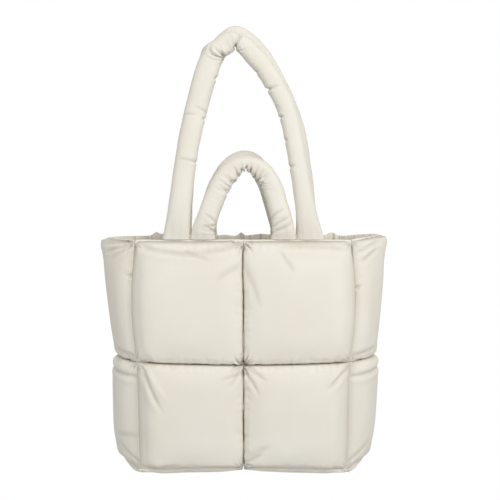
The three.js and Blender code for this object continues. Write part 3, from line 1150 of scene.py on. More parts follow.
@dataclass
class Body:
    """The walls and base of the bag, all stuffed squares."""

    net: SeamNet
    finish: NylonCloth
    loft: float = 22 * MM
    upper_panel_loft: float = 0.95
    upper_side_loft: float = 0.8
    panel_top_ease: float = 0.7
    side_base_ease: float = 0.6
    side_ease: float = 0.8
    panel_top_edge: float = 2.1 * MM
    side_top_edge: float = 1.4 * MM
    stitch_inset: float = 2 * MM
    base_inset: float = 1.5 * MM
    panel_press: ClothPress = ClothPress()
    side_press: ClothPress = ClothPress(pressure=4.0, slack=0.008)
    stitch_lines: list[Array] = field(default_factory=list)

    TIGHT = 0.04
    CORNER = 0.9
    BASE_EDGE = 0.5
    COLUMNS = (
        Column("front_left", Side.FRONT, 0, 0.5),
        Column("front_right", Side.FRONT, 0.5, 1),
        Column("side_right", Side.RIGHT, 0, 1),
        Column("rear_right", Side.REAR, 0, 0.5),
        Column("rear_left", Side.REAR, 0.5, 1),
        Column("side_left", Side.LEFT, 0, 1),
    )
    FOLDS = {
        "front_left_puff_upper": (
            Fold((0.04, 0.965), (0.60, 0.905), 5.5, 3.2, bow=-3),
            Fold((0.99, 0.985), (0.50, 0.915), 6, 2.6, bow=3),
            Fold((0.44, 0.93), (0.70, 0.86), 5, 1.6),
            Fold((0.98, 0.84), (0.74, 0.72), 8, 0.8),
        ),
        "front_right_puff_upper": (
            Fold((0.02, 0.86), (0.16, 0.48), 8, 0.9),
            Fold((0.34, 0.93), (0.48, 0.77), 6, 0.8),
            Fold((0.97, 0.93), (0.30, 0.965), 6, 1.6, bow=-3),
        ),
        "front_left_puff_lower": (
            Fold((0.03, 0.97), (0.23, 0.55), 6, 2.6, bow=-2),
            Fold((0.07, 0.96), (0.30, 0.62), 8, 1.1, FoldKind.RIDGE),
            Fold((0.97, 0.97), (0.88, 0.80), 5, 1.8),
            Fold((0.99, 0.93), (0.78, 0.86), 5, 1.2),
            Fold((0.02, 0.03), (0.40, 0.05), 6, 1.2),
        ),
        "front_right_puff_lower": (
            Fold((0.99, 0.95), (0.80, 0.76), 6, 2.8),
            Fold((0.97, 0.93), (0.86, 0.86), 9, 1.0, FoldKind.RIDGE),
            Fold((0.02, 0.95), (0.14, 0.72), 5, 1.8),
            Fold((0.02, 0.98), (0.22, 0.86), 5, 1.4),
            Fold((0.01, 0.06), (0.18, 0.16), 5, 1.8),
            Fold((0.01, 0.04), (0.10, 0.05), 4, 1.8),
            Fold((0.02, 0.12), (0.26, 0.24), 8, 0.8),
        ),
        "rear_right_puff_upper": (
            Fold((0.97, 0.98), (0.50, 0.90), 8, 1.8, bow=3),
            Fold((0.03, 0.95), (0.45, 0.90), 7, 1.4),
            Fold((0.97, 0.10), (0.74, 0.22), 6, 1.4),
        ),
        "rear_left_puff_upper": (
            Fold((0.02, 0.97), (0.40, 0.88), 7, 1.8),
            Fold((0.97, 0.92), (0.76, 0.70), 7, 1.6),
            Fold((0.03, 0.08), (0.24, 0.24), 6, 1.4),
        ),
        "rear_right_puff_lower": (
            Fold((0.97, 0.95), (0.78, 0.66), 6, 2.4),
            Fold((0.02, 0.94), (0.20, 0.74), 6, 1.8),
            Fold((0.98, 0.06), (0.80, 0.20), 5, 1.6),
        ),
        "rear_left_puff_lower": (
            Fold((0.02, 0.96), (0.22, 0.70), 6, 2.4),
            Fold((0.98, 0.90), (0.80, 0.72), 6, 1.6),
            Fold((0.03, 0.05), (0.20, 0.17), 5, 1.6),
        ),
        "side_left_puff_upper": (
            Fold((1.00, 0.99), (0.62, 0.90), 4.5, 3.2, bow=2),
            Fold((1.00, 0.97), (0.72, 0.85), 4.5, 2.6),
            Fold((1.00, 1.00), (0.55, 0.955), 4, 2.4),
            Fold((1.01, 0.75), (0.96, 0.73), 5, 2.6),
            Fold((1.00, 0.05), (0.60, 0.10), 6, 1.6),
            Fold((0.00, 0.98), (0.34, 0.88), 5, 1.8),
        ),
        "side_right_puff_upper": (
            Fold((0.02, 0.90), (0.36, 0.965), 4.5, 2.6, bow=2),
            Fold((0.06, 0.84), (0.30, 0.93), 5, 1.4),
            Fold((-0.01, 0.65), (0.04, 0.63), 5, 2.6),
            Fold((0.00, 0.05), (0.40, 0.09), 6, 1.6),
            Fold((1.00, 0.98), (0.70, 0.88), 5, 1.8),
        ),
        "side_left_puff_lower": (
            Fold((1.02, 0.86), (0.42, 0.90), 6, 3.2, bow=1),
            Fold((1.00, 0.30), (0.70, 0.26), 8, 0.8),
            Fold((1.00, 0.06), (0.74, 0.20), 6, 1.2),
        ),
        "side_right_puff_lower": (
            Fold((-0.02, 0.86), (0.58, 0.90), 6, 3.2, bow=-1),
            Fold((0.00, 0.06), (0.26, 0.20), 6, 1.2),
        ),
    }

    def build(self) -> None:
        material = self.finish.material()
        for number, puff in enumerate(self.puffs()):
            puff.seed = 100 + 17 * number
            declare(puff.build(material), puff.name)
            if puff.top_path is not None:
                self.stitch_lines.append(puff.top_path)

    def puffs(self) -> list[Puff]:
        """The stuffed squares: both rows of the walls, then the base."""
        net = self.net
        rows = ((False, net.base, net.waist), (True, net.waist, net.mouth))
        found = [self.wall_puff(column, *row) for row in rows for column in self.COLUMNS]
        return found + [self.base_puff(side) for side in (Side.LEFT, Side.RIGHT)]

    def wall_puff(self, column: Column, upper: bool, under: Ring, over: Ring) -> Puff:
        """One stuffed square of a wall."""
        net, panel = self.net, column.side.is_panel
        name = f"{column.name}_puff_{'upper' if upper else 'lower'}"
        puff = Puff(
            name=name,
            surface=lambda u, v: net.wall(column, (under, over), u, v),
            width=net.panel_width / 2 if panel else net.gusset_width,
            height=over.height - under.height,
            loft=self.loft,
            press=self.panel_press if panel else self.side_press,
            side_ease=0.0 if panel else self.side_ease,
            base_ease=0.0 if panel or upper else self.side_base_ease,
            folds=self.FOLDS.get(name, ()),
            openings=(
                self.CORNER if column.start == 0 else self.TIGHT,
                self.CORNER if column.stop == 1 else self.TIGHT,
                self.TIGHT if upper else self.BASE_EDGE,
                self.TIGHT,
            ),
        )
        if upper:
            puff.loft *= self.upper_panel_loft if panel else self.upper_side_loft
            puff.top_ease = self.panel_top_ease if panel else 0.0
            puff.top_edge = self.panel_top_edge if panel else self.side_top_edge
            puff.overhang = net.hem_height - self.stitch_inset
        return puff

    def base_puff(self, side: Side) -> Puff:
        """One half of the base."""
        return Puff(
            name=f"base_puff_{side.name.lower()}",
            surface=lambda u, v: self.net.floor(side, u, v),
            width=self.net.gusset_width,
            height=self.net.panel_width / 2,
            loft=self.net.base_drop - self.base_inset,
            press=self.side_press,
            openings=(self.BASE_EDGE,) * 3 + (self.TIGHT,),
        )


# Straps


@dataclass(frozen=True)
class StrapRow:
    """A section of a strap, in shares of its half spread, rise, width and depth."""

    across: float
    up: float
    wide: float
    deep: float


@dataclass(frozen=True)
class Crease:
    """A pinch across a strap, at a share of the strap's length and a turn around it.

    Turns are 0 outside the loop, 0.25 in front and 0.5 inside it, and the reach is in turns too.
    The other sizes are in millimetres.
    """

    at: float
    around: float
    reach: float
    depth: float
    width: float = 4.0
    slant: float = 0.0
    bow: float = 0.0


def through(points: Array, count: int) -> Array:
    """A smooth curve through points, evenly spaced along its length.

    Args:
        points: Rows that start with x, y and z. Any further columns go along with them.
        count: How many rows to give.

    Returns:
        The rows of the curve.
    """
    steps = steps_of(points[:, :3]) ** 0.5
    knots = travelled(steps)
    slopes = np.diff(points, axis=0) / steps[:, None]
    wide = (points[2:] - points[:-2]) / (knots[2:] - knots[:-2])[:, None]
    tangents = np.concatenate([slopes[:1], slopes[:-1] - wide + slopes[1:], slopes[-1:]])
    dense = np.linspace(0, knots[-1], 40 * len(points))
    at = np.clip(np.searchsorted(knots, dense, side="right") - 1, 0, len(steps) - 1)
    t = ((dense - knots[at]) / steps[at])[:, None]
    reach = steps[at][:, None]
    curve = (
        (2 * t**3 - 3 * t**2 + 1) * points[at]
        + (t**3 - 2 * t**2 + t) * reach * tangents[at]
        + (3 * t**2 - 2 * t**3) * points[at + 1]
        + (t**3 - t**2) * reach * tangents[at + 1]
    )
    length = travelled(steps_of(curve[:, :3]))
    even = np.linspace(0, length[-1], count)
    return np.stack([np.interp(even, length, column) for column in curve.T], axis=-1)


@dataclass
class Strap:
    """A stuffed tube that is sewn down at both feet."""

    name: str
    rows: tuple[StrapRow, ...]
    spread: float
    rise: float
    width: float
    depth: float
    foot: Array
    crown_y: float
    creases: tuple[Crease, ...] = ()
    seed: int = 0
    fill: float = 0.8
    slack: float = 0.0
    sides: int = 32
    step: float = 3.2 * MM
    flatness: float = 0.82
    upright_rings: int = 5
    pin: float = 0.55
    bend_window: float = 14 * MM
    bend_limit: float = 0.7
    slack_reach: float = 0.26
    inner_reach: tuple[float, float] = (-0.75, 0.6)
    buckle: float = 3.2 * MM
    buckle_length: float = 8.5 * MM
    buckle_stray: float = 0.85
    buckle_stray_length: float = 26 * MM
    buckle_range: float = 0.85
    buckle_range_length: float = 19 * MM
    foot_gather: float = 0.9 * MM
    foot_gather_length: float = 9 * MM
    foot_gather_at: float = 6 * MM
    foot_gather_width: float = 16 * MM
    swell: float = 0.35 * MM
    swell_length: float = 40 * MM
    # Painted shade in the pinches
    pinch_shade: float = 0.5
    press: ClothPress = ClothPress(
        pressure=3.0, slack=0.0, bending=0.03, tension=12.0, shear=5.0, frames=16, hold=8.0
    )

    def sections(self) -> Array:
        """The route's rows: x, y, z, width and depth."""
        table = []
        for row in self.rows:
            y = mix(self.foot[1], self.crown_y, smooth(np.array(row.up), 0, 1))
            x = self.foot[0] + row.across * self.spread / 2
            z = self.foot[2] + row.up * self.rise
            table.append((x, float(y), z, row.wide * self.width, row.deep * self.depth))
        table = np.array(table)
        return through(table, int(steps_of(table[:, :3]).sum() / self.step) + 1)

    def tube(self) -> Pair:
        """The tube's grid of points, and the same cloth laid out as the straight tube it is."""
        rows = self.sections()
        way = unit(np.gradient(rows[:, :3], axis=0))
        order = np.arange(len(rows))[:, None]
        rising = np.where(order < len(rows) / 2, 1, -1) * UP
        bent = smooth(np.minimum(order, order[::-1]) / self.upright_rings, 0, 1)
        way = unit(mix(rising, way, bent))
        wide = unit(np.cross(way, REARWARD))
        deep = unit(np.cross(way, wide))
        ring = section(self.sides, self.flatness)
        across = rows[:, None, 3:4] / 2 * ring[0][None, :, None] * wide[:, None]
        through_it = rows[:, None, 4:5] / 2 * ring[1][None, :, None] * deep[:, None]
        grid = rows[:, None, :3] + across + through_it
        run = travelled(steps_of(grid).max(axis=1))
        girth = np.linalg.norm(grid - np.roll(grid, 1, axis=1), axis=2).sum(axis=1).max()
        radius = girth / (2 * math.pi)
        cut = np.zeros_like(grid)
        cut[..., 0] = radius * ring[0]
        cut[..., 1] = -radius * ring[1]
        cut[..., 2] = run[:, None]
        return grid, cut

    def settle(self, grid: Array, cut: Array) -> Array:
        """Blows up the tube, which rounds its sections."""
        held = np.full(grid.shape[:2], self.pin)
        held[:2] = held[-2:] = 1.0
        points, rest = grid.reshape(-1, 3), cut.reshape(-1, 3)
        faces = tube_faces(len(grid), self.sides)
        return self.press.relax(points, faces, held.ravel(), rest).reshape(grid.shape)

    def creased(self, grid: Array) -> Pair:
        """Adds the pinches, with painted shade in them, and the gathers over the feet."""
        count, sides = grid.shape[:2]
        centre = grid.mean(axis=1)
        run = travelled(steps_of(centre))
        turn = np.arange(sides) / sides
        outward = unit(grid - centre[:, None])
        lift, crease_shade = np.zeros((count, sides)), np.zeros((count, sides))
        for pinch in self.creases:
            width, depth = pinch.width * MM, pinch.depth * MM
            slant, bow = pinch.slant * MM, pinch.bow * MM
            off = (turn - pinch.around + 0.5) % 1 - 0.5
            fade = np.clip(1 - (off / pinch.reach) ** 2, 0, 1)
            middle = pinch.at * run[-1] + slant * off / pinch.reach + bow * fade
            away = run[:, None] - middle[None]
            sides_up = bell(np.abs(away) - 2.0 * width, 1.5 * width)
            lift += depth * fade * (0.22 * sides_up - bell(away, width))
            # Painted shade in the pinch
            crease_shade += self.pinch_shade * fade * bell(away, 0.6 * width)
        lift += self.buckles(centre, run, turn)
        near_foot = np.minimum(run, run[-1] - run)[:, None]
        gather = Noise(self.seed, self.foot_gather_length)
        gather = gather.along(turn * 2 * (self.width + self.depth))[None]
        near_foot = bell(near_foot - self.foot_gather_at, self.foot_gather_width)
        lift += self.foot_gather * gather * near_foot
        lift += self.swell * Noise(self.seed + 1, self.swell_length)(grid)
        return grid + outward * lift[..., None], crease_shade

    def buckles(self, centre: Array, run: Array, turn: Array) -> Array:
        """The short wrinkles on the inner side of each bend.

        Args:
            centre: The middle of each section.
            run: The distance along the strap of each section.
            turn: The turns round the tube of each of its points.

        Returns:
            How far each point of the tube's grid moves out.
        """
        spacing = run[1]
        window = np.hanning(2 * int(self.bend_window / spacing) + 3)
        way = unit(np.gradient(centre, axis=0))
        bend = np.gradient(way, spacing, axis=0)
        inner = -np.cross(way, REARWARD)
        bend = np.clip((bend * unit(inner)).sum(axis=-1), 0, None)
        bend = np.convolve(bend, window / window.sum(), "same") * self.width
        bend = np.clip(bend, 0, self.bend_limit)
        bend = bend + self.slack * bell(run - run[-1] / 2, self.slack_reach * run[-1])
        inner_side = smooth(-np.cos(2 * math.pi * turn), *self.inner_reach)[None]
        stray = Noise(self.seed + 5, self.buckle_stray_length)
        place = np.zeros((len(run), len(turn), 3))
        place[..., 0] = run[:, None]
        place[..., 1] = np.sin(2 * math.pi * turn)[None] * 0.5 * self.width
        phase = run[:, None] / self.buckle_length + self.buckle_stray * stray(place)
        valleys = np.abs(np.sin(math.pi * phase)) ** 0.6 - 0.7
        uneven = 1 + self.buckle_range * Noise(self.seed + 6, self.buckle_range_length)(place)
        return bend[:, None] * self.buckle * inner_side * uneven * valleys

    def build(self, material: bpy.types.Material) -> bpy.types.Object:
        """Makes the strap as one closed piece.

        Args:
            material: Its finish.

        Returns:
            The piece, before it is declared.
        """
        grid = self.settle(*self.tube())
        around = np.concatenate([grid[:, -1:], grid, grid[:, :2]], axis=1)
        grid, crease_shade = self.creased(doubled(doubled(around, 1)[:, 2:-3], 0))
        count, sides = grid.shape[:2]
        girth = 1.5 * (self.width + self.depth) * np.abs(np.arange(sides) / sides - 0.5)
        uvs = pairs(self.step / 2 * np.arange(count), 2 * girth)
        points, faces, name = grid.reshape(-1, 3), tube_faces(count, sides), f"{self.name}_cloth"
        return make_piece(name, points, faces, uvs, crease_shade.ravel(), material)


@dataclass
class Straps:
    """The two shoulder straps and the two hand straps."""

    net: SeamNet
    finish: NylonCloth
    shoulder_spread: float = 205 * MM
    shoulder_rise: float = 305 * MM
    shoulder_width: float = 35 * MM
    hand_rise: float = 119 * MM
    hand_width: float = 34 * MM
    strap_depth: float = 27 * MM
    crown_gap: float = 3 * MM
    foot_splay: float = 1.1
    foot_gap: float = 3.5 * MM
    hand_lean: float = 10 * MM
    hand_slack: float = 0.5

    # Each strap's sections from its left foot to its right one, as in StrapRow
    SHOULDER_FRONT = (
        (-1, 0, 1.1, 0.3), (-0.97, 0.08, 1.04, 0.75), (-0.937, 0.177, 0.98, 1),
        (-0.878, 0.334, 0.94, 1), (-0.805, 0.49, 0.96, 1), (-0.7, 0.65, 0.98, 1),
        (-0.578, 0.807, 1, 1), (-0.5, 0.885, 0.99, 0.95), (-0.44, 0.93, 0.9, 0.95),
        (-0.34, 0.957, 0.85, 1), (-0.2, 0.984, 0.86, 1), (-0.125, 0.99, 0.68, 1),
        (-0.095, 0.986, 0.58, 1), (-0.06, 0.98, 0.66, 1), (0.0, 0.968, 0.76, 1),
        (0.1, 0.935, 0.82, 1), (0.29, 0.862, 0.83, 1), (0.476, 0.765, 0.83, 1),
        (0.655, 0.634, 0.82, 1), (0.75, 0.49, 0.8, 1), (0.83, 0.334, 0.8, 1),
        (0.905, 0.177, 0.86, 1), (0.955, 0.08, 0.98, 0.75), (1, 0, 1.1, 0.3),
    )
    SHOULDER_REAR = (
        (-1, 0, 1.1, 0.3), (-0.98, 0.08, 0.98, 0.75), (-0.93, 0.27, 0.88, 1),
        (-0.8, 0.58, 0.88, 1), (-0.58, 0.82, 0.88, 1), (-0.36, 0.966, 0.85, 1),
        (-0.12, 1.03, 0.82, 1), (0.17, 0.965, 0.8, 1), (0.51, 0.795, 0.78, 1),
        (0.79, 0.57, 0.8, 1), (0.92, 0.34, 0.82, 1), (0.98, 0.1, 0.95, 0.75), (1, 0, 1.1, 0.3),
    )
    HAND_FRONT = (
        (-1, 0, 1.1, 0.3), (-0.99, 0.12, 1, 0.75), (-0.9, 0.27, 0.94, 1), (-0.77, 0.454, 0.92, 1),
        (-0.56, 0.7, 0.92, 1), (-0.34, 0.855, 0.88, 1), (-0.13, 0.94, 0.72, 1),
        (0.03, 0.965, 0.62, 1), (0.2, 0.952, 0.68, 1), (0.37, 0.905, 0.84, 1),
        (0.56, 0.81, 0.88, 1), (0.72, 0.656, 0.92, 1), (0.84, 0.454, 0.92, 1),
        (0.95, 0.25, 0.94, 1), (0.99, 0.12, 1, 0.75), (1, 0, 1.1, 0.3),
    )
    HAND_REAR = (
        (-1, 0, 1.1, 0.3), (-0.98, 0.14, 0.98, 0.75), (-0.86, 0.4, 0.94, 1),
        (-0.6, 0.74, 0.92, 1), (-0.24, 0.97, 0.9, 1), (0.03, 1.02, 0.88, 1), (0.3, 0.96, 0.88, 1),
        (0.6, 0.73, 0.92, 1), (0.83, 0.36, 0.94, 1), (0.96, 0.14, 0.98, 0.75), (1, 0, 1.1, 0.3),
    )
    CREASES = {
        "shoulder_strap_front": (
            Crease(0.180, 0.42, 0.30, 1.6, 2.6),
            Crease(0.284, 0.16, 0.12, 0.6, 2.2, 2),
            Crease(0.284, 0.47, 0.12, 2.2, 2.2, 2),
            Crease(0.300, 0.38, 0.16, 1.2, 2.2, -3),
            Crease(0.383, 0.50, 0.12, 2.6, 2.6),
            Crease(0.450, 0.31, 0.19, 4.6, 2.2, 3, -12),
            Crease(0.452, 0.46, 0.20, 5.5, 3.2, 3),
            Crease(0.434, 0.00, 0.22, -1.5, 7.0),
            Crease(0.502, 0.30, 0.50, 4.5, 2.6),
            Crease(0.585, 0.47, 0.14, 1.2, 2.6),
            Crease(0.637, 0.44, 0.24, 3.6, 2.6, -4),
            Crease(0.712, 0.47, 0.14, 3.6, 2.2),
            Crease(0.768, 0.47, 0.12, 1.6, 2.6),
            Crease(0.830, 0.46, 0.18, 2.2, 2.6),
        ),
        "hand_strap_front": (
            Crease(0.470, 0.48, 0.18, 4.5, 2.4, 2),
            Crease(0.505, 0.46, 0.20, 5.0, 2.2, -2),
            Crease(0.545, 0.44, 0.22, 4.0, 2.2, 3),
            Crease(0.590, 0.42, 0.22, 2.6, 2.2, 5),
            Crease(0.625, 0.40, 0.20, 2.4, 2.2, 6),
            Crease(0.665, 0.40, 0.18, 1.6, 2.2, 6),
            Crease(0.420, 0.44, 0.20, 2.2, 2.4, -5),
            Crease(0.360, 0.42, 0.20, 1.8, 2.4, -6),
            Crease(0.290, 0.42, 0.20, 1.4, 2.4, -6),
            Crease(0.945, 0.30, 0.24, 2.0, 2.4, 8),
            Crease(0.905, 0.28, 0.20, 1.4, 2.4, 7),
            Crease(0.860, 0.34, 0.18, 0.9, 2.4, 7),
            Crease(0.060, 0.40, 0.16, 2.8, 2.2, -4),
            Crease(0.085, 0.36, 0.14, 2.0, 2.2, 5),
            Crease(0.120, 0.34, 0.16, 1.2, 2.2, -5),
        ),
        "hand_strap_rear": (
            Crease(0.360, 0.20, 0.20, 1.6, 2.4),
            Crease(0.320, 0.16, 0.16, 1.2, 2.4),
            Crease(0.530, 0.50, 0.20, 4.0, 3.0),
            Crease(0.600, 0.45, 0.20, 2.6, 3.0),
        ),
    }

    def straps(self) -> list[Strap]:
        """The four straps."""
        hem_depth = self.net.mouth.depth
        shoulder = {
            "spread": self.shoulder_spread,
            "rise": self.shoulder_rise,
            "width": self.shoulder_width,
        }
        feet = self.foot_splay * (self.shoulder_width + self.hand_width) + 2 * self.foot_gap
        hand = {
            "spread": self.shoulder_spread - feet,
            "rise": self.hand_rise,
            "width": self.hand_width,
        }
        shoulder_y = (self.strap_depth + self.crown_gap) / 2
        hand_y = hem_depth - self.hand_lean
        choices = (
            ("shoulder_strap_front", self.SHOULDER_FRONT, -1, shoulder_y, shoulder),
            ("shoulder_strap_rear", self.SHOULDER_REAR, 1, shoulder_y, shoulder),
            ("hand_strap_front", self.HAND_FRONT, -1, hand_y, hand),
            ("hand_strap_rear", self.HAND_REAR, 1, hand_y, hand),
        )
        top = self.net.place + UP * (self.net.body_height + self.net.seam_gap)
        return [
            Strap(
                name=name,
                rows=tuple(StrapRow(*row) for row in rows),
                depth=self.strap_depth,
                foot=top + REARWARD * turn * hem_depth,
                crown_y=turn * crown,
                slack=self.hand_slack if name.startswith("hand") else 0.0,
                creases=self.CREASES.get(name, ()),
                seed=500 + 20 * number,
                **sizes,
            )
            for number, (name, rows, turn, crown, sizes) in enumerate(choices)
        ]

    def build(self) -> None:
        material = self.finish.material()
        for strap in self.straps():
            declare(strap.build(material), strap.name)


# Hem


@dataclass(frozen=True)
class Bump:
    """A crumple in the rear hem, at a share along it, with its lengths in millimetres."""

    at: float
    width: float
    rise: float
    out: float = 0.0


@dataclass(frozen=True)
class Gathers:
    """The fine gathers of one stretch of the hem, the painted shade in their hollows, and the
    painted shade low on the band's inner side.

    Their length and strength are in millimetres.
    """

    length: float = 9.0
    strength: float = 0.8
    # The last two are painted shade: in the hollows of the gathers, and low on the band's inner
    # side
    hollow_shade: float = 0.5
    shade: float = 0.0


@dataclass
class Hem:
    """The folded band round the mouth, one stretch for each side."""

    net: SeamNet
    finish: NylonCloth
    thickness: float = 6 * MM
    sides: int = 24
    step: float = 1.6 * MM
    squareness: float = 0.4
    thinning: float = 0.45
    end_reach: float = 0.03
    waver: float = 0.8 * MM
    waver_length: float = 60 * MM
    rise_length: float = 45 * MM
    foot_shade: float = 0.2
    foot_shade_width: float = 1.2 * MM
    inner_shade_reach: tuple[float, float] = (2 * MM, 7 * MM)
    bumps: tuple[Bump, ...] = (
        Bump(0.045, 9, 5, 3),
        Bump(0.105, 4, 2.4, -3),
        Bump(0.955, 7, 6, 3),
        Bump(0.915, 5, 4, -3),
        Bump(0.875, 4, 2.4, 3),
        Bump(0.515, 5, 5),
        Bump(0.40, 20, 2.4),
        Bump(0.60, 10, 2, -2),
    )

    GATHERS = {
        Side.FRONT: Gathers(strength=0.35, hollow_shade=0.0),
        Side.REAR: Gathers(length=6.0, strength=1.9, hollow_shade=0.7, shade=0.22),
    }

    def stretch(self, side: Side) -> Pair:
        """The grid of points of one stretch, and how much painted crease shade each one gets."""
        length = self.net.panel_width if side.is_panel else self.net.gusset_width
        inset = self.net.seam_gap / 2 / length
        s = np.linspace(inset, 1 - inset, int(length / self.step) + 1)
        run, ring = s * length, self.net.mouth
        seam, out = self.net.ring_points(ring, side, s), self.net.outward(ring, side, s)
        across, level = section(self.sides, self.squareness)
        share = (level + 1) / 2
        half = self.thickness / 2 * (1 - self.thinning * smooth(share, 0.5, 1))
        height = mix(self.net.seam_gap / 2, self.net.hem_height, share)
        ends = smooth(to_end(s), 0, self.end_reach)
        stray = Noise(71 + side.value, self.waver_length).along(run) * self.waver * ends
        rise = Noise(81 + side.value, self.rise_length).along(run) * 0.5 * self.waver * ends
        for bump in self.bumps if side is Side.REAR else ():
            shape = bell(run - bump.at * run[-1], bump.width * MM)
            rise = rise + bump.rise * MM * shape
            stray = stray + bump.out * MM * shape
        gathers = self.GATHERS.get(side, Gathers())
        waves = Noise(91 + side.value, gathers.length * MM).along(run)
        skin = gathers.strength * MM * waves[:, None] * across[None] * ends[:, None]
        offset = stray[:, None] * share[None] + (half * across)[None] + skin
        grid = seam[:, None] + out[:, None] * offset[..., None]
        grid = grid + UP * (height[None] + rise[:, None] * share[None] ** 2)[..., None]
        # Painted shade: low on the band's inner side, along its foot and in the gathers' hollows
        inside = (across < 0) * (1 - smooth(height, *self.inner_shade_reach))
        low = self.foot_shade * bell(height - self.net.seam_gap, self.foot_shade_width)
        low = low + gathers.shade * inside
        return grid, low[None] + (np.clip(-waves - 0.3, 0, 1) * gathers.hollow_shade)[:, None]

    def build(self) -> None:
        material = self.finish.material()
        for side in Side:
            grid, crease_shade = self.stretch(side)
            girth = np.abs(np.arange(self.sides) / self.sides - 0.5) * 2.5 * self.net.hem_height
            uvs = pairs(np.arange(len(grid)) * self.step, girth)
            name = f"hem_{side.name.lower()}"
            points, faces = grid.reshape(-1, 3), tube_faces(len(grid), self.sides)
            piece = make_piece(f"{name}_band", points, faces, uvs, crease_shade.ravel(), material)
            declare(piece, name)


@dataclass
class Topstitch:
    """The row of stitches along the hem, made by geometry nodes."""

    lines: list[Array]
    thread: Thread = Thread()
    spacing: float = 4.2 * MM
    length: float = 3.1 * MM
    thickness: float = 0.55 * MM

    def tree(self, material: bpy.types.Material) -> bpy.types.NodeTree:
        """The node tree that sets stitches along a path."""
        tree = bpy.data.node_groups.new("topstitch", "GeometryNodeTree")
        face = tree.interface
        sizes = ("Spacing", "Length", "Thickness")
        face.new_socket("Path", in_out="INPUT", socket_type="NodeSocketGeometry")
        for name in sizes:
            face.new_socket(name, in_out="INPUT", socket_type="NodeSocketFloat")
        face.new_socket("Stitches", in_out="OUTPUT", socket_type="NodeSocketGeometry")
        nodes = Nodes(tree)
        given = nodes.add("NodeGroupInput")
        spacing, length, thickness = (given.outputs[name] for name in sizes)
        curve = nodes.add("GeometryNodeMeshToCurve", {}, {0: given.outputs["Path"]})
        points = nodes.add(
            "GeometryNodeCurveToPoints",
            {"mode": "LENGTH"},
            {"Curve": curve.outputs[0], "Length": spacing},
        )
        ball = nodes.add("GeometryNodeMeshUVSphere", {}, {"Segments": 8, "Rings": 6, "Radius": 0.5})
        size = nodes.add("ShaderNodeCombineXYZ", {}, {0: thickness, 1: thickness, 2: length})
        row = nodes.add(
            "GeometryNodeInstanceOnPoints",
            {},
            {
                "Points": points.outputs["Points"],
                "Instance": ball.outputs["Mesh"],
                "Rotation": points.outputs["Rotation"],
                "Scale": size.outputs[0],
            },
        )
        real = nodes.add("GeometryNodeRealizeInstances", {}, {0: row.outputs[0]})
        smoothed = nodes.add("GeometryNodeSetShadeSmooth", {}, {0: real.outputs[0]})
        dressed = nodes.add(
            "GeometryNodeSetMaterial", {}, {"Geometry": smoothed.outputs[0], "Material": material}
        )
        nodes.add("NodeGroupOutput", {}, {0: dressed.outputs[0]})
        return tree

    def build(self) -> None:
        points, edges = [], []
        for row in self.lines:
            first = len(points)
            points += row.tolist()
            edges += [(k, k + 1) for k in range(first, len(points) - 1)]
        mesh = bpy.data.meshes.new("stitch_path")
        mesh.from_pydata(points, edges, [])
        holder = placed("stitch_path", mesh)
        modifier = holder.modifiers.new("stitches", "NODES")
        modifier.node_group = self.tree(self.thread.material())
        sizes = {"Spacing": self.spacing, "Length": self.length, "Thickness": self.thickness}
        for item in modifier.node_group.interface.items_tree:
            if item.name in sizes:
                modifier[item.identifier] = sizes[item.name]
        view = bpy.context.evaluated_depsgraph_get()
        sewn = bpy.data.meshes.new_from_object(holder.evaluated_get(view))
        made = placed("hem_topstitch", sewn)
        bpy.data.objects.remove(holder)
        declare(made)


# Studio


@dataclass(frozen=True)
class Lamp:
    """A soft square light that points at the bag."""

    name: str
    place: tuple[float, float, float]
    power: float
    size: float
    target: tuple[float, float, float] = (0.0, 0.0, -0.35)

    def build(self) -> None:
        """Puts the lamp in the scene."""
        data = bpy.data.lights.new(self.name, "AREA")
        data.energy = self.power
        data.size = self.size
        aimed(self.name, data, Vector(self.place), Vector(self.target))


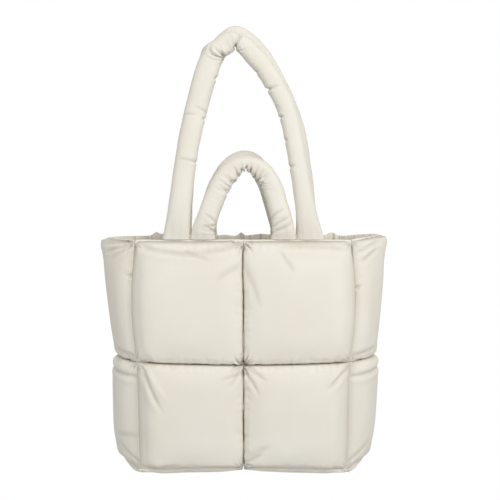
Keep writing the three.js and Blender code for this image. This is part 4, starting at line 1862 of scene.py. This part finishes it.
@dataclass
class Studio:
    """The pale surroundings, the soft lights and the camera."""

    net: SeamNet
    paper: Paper = Paper()
    lamps: tuple[Lamp, ...] = (
        Lamp("key", (1.05, -1.85, 0.85), power=35.5, size=1.9),
        Lamp("fill", (-1.5, -1.7, 0.3), power=7.5, size=1.8),
        Lamp("back", (-0.5, 2.5, 0.7), power=19.0, size=1.8),
    )
    sky_strength: float = 0.57
    frame_width: float = 750 * MM
    distance: float = 1.5
    eye_height: float = 456 * MM
    aim_height: float = 343.5 * MM
    eye_right: float = 10 * MM
    sensor_width: float = 36.0
    clip: tuple[float, float] = (0.05, 60.0)
    floor_drop: float = 0.75
    shell_radius: float = 9.0
    floor_radii: tuple[float, float] = (0.5, 3.0)
    shell_turns: tuple[float, float] = (0.75, 0.98 * math.pi)
    shell_steps: int = 24
    shell_sides: int = 48

    def build(self) -> None:
        """Makes the backdrop, the lights and the camera."""
        self.backdrop()
        self.sky()
        for lamp in self.lamps:
            lamp.build()
        self.camera()

    def backdrop(self) -> None:
        """A pale floor that turns up into a pale shell all round, seen but casting no light."""
        floor = self.net.place[2] - self.floor_drop
        angle = np.linspace(0, 2 * math.pi, self.shell_sides, endpoint=False)
        profile = [(radius, floor) for radius in self.floor_radii]
        for turn in np.linspace(*self.shell_turns, self.shell_steps):
            height = floor + self.shell_radius * (1 - math.cos(turn))
            profile.append((self.shell_radius * math.sin(turn), height))
        points = np.array(
            [[r * math.cos(a), r * math.sin(a), z] for r, z in profile for a in angle]
        )
        faces = grid_faces(len(profile), len(angle), closed=True).tolist()
        first = len(points) - len(angle)
        faces += [list(range(len(angle))), list(range(first, len(points)))]
        paper, flat = self.paper.material(), np.zeros(len(points))
        made = make_piece("backdrop", points, faces, points[:, :2], flat, paper)
        for ray in ("visible_diffuse", "visible_glossy", "visible_transmission", "visible_shadow"):
            setattr(made, ray, False)

    def sky(self) -> None:
        """The even light from all round."""
        world = bpy.data.worlds.new("sky")
        world.use_nodes = True
        shade = world.node_tree.nodes["Background"]
        shade.inputs["Color"].default_value = (1, 1, 1, 1)
        shade.inputs["Strength"].default_value = self.sky_strength
        bpy.context.scene.world = world

    def camera(self) -> None:
        """The camera at the photograph's place."""
        x, _, base = self.net.place
        front = -self.net.waist.depth
        eye = Vector((x + self.eye_right, front - self.distance, base + self.eye_height))
        aim = Vector((x + self.eye_right, front, base + self.aim_height))
        data = bpy.data.cameras.new("camera")
        data.sensor_width = self.sensor_width
        data.lens = data.sensor_width * (aim - eye).length / self.frame_width
        data.clip_start, data.clip_end = self.clip
        bpy.context.scene.camera = aimed("camera", data, eye, aim)
        bpy.context.scene.view_settings.view_transform = "Standard"


def main() -> None:
    """Builds the bag and its surroundings."""
    net = SeamNet()
    Studio(net).build()
    body = Body(net, NylonCloth("shell_nylon"))
    body.build()
    Straps(net, NylonCloth("strap_nylon")).build()
    Hem(net, NylonCloth("hem_nylon")).build()
    Topstitch(body.stitch_lines).build()


if __name__ == "__main__":
    main()
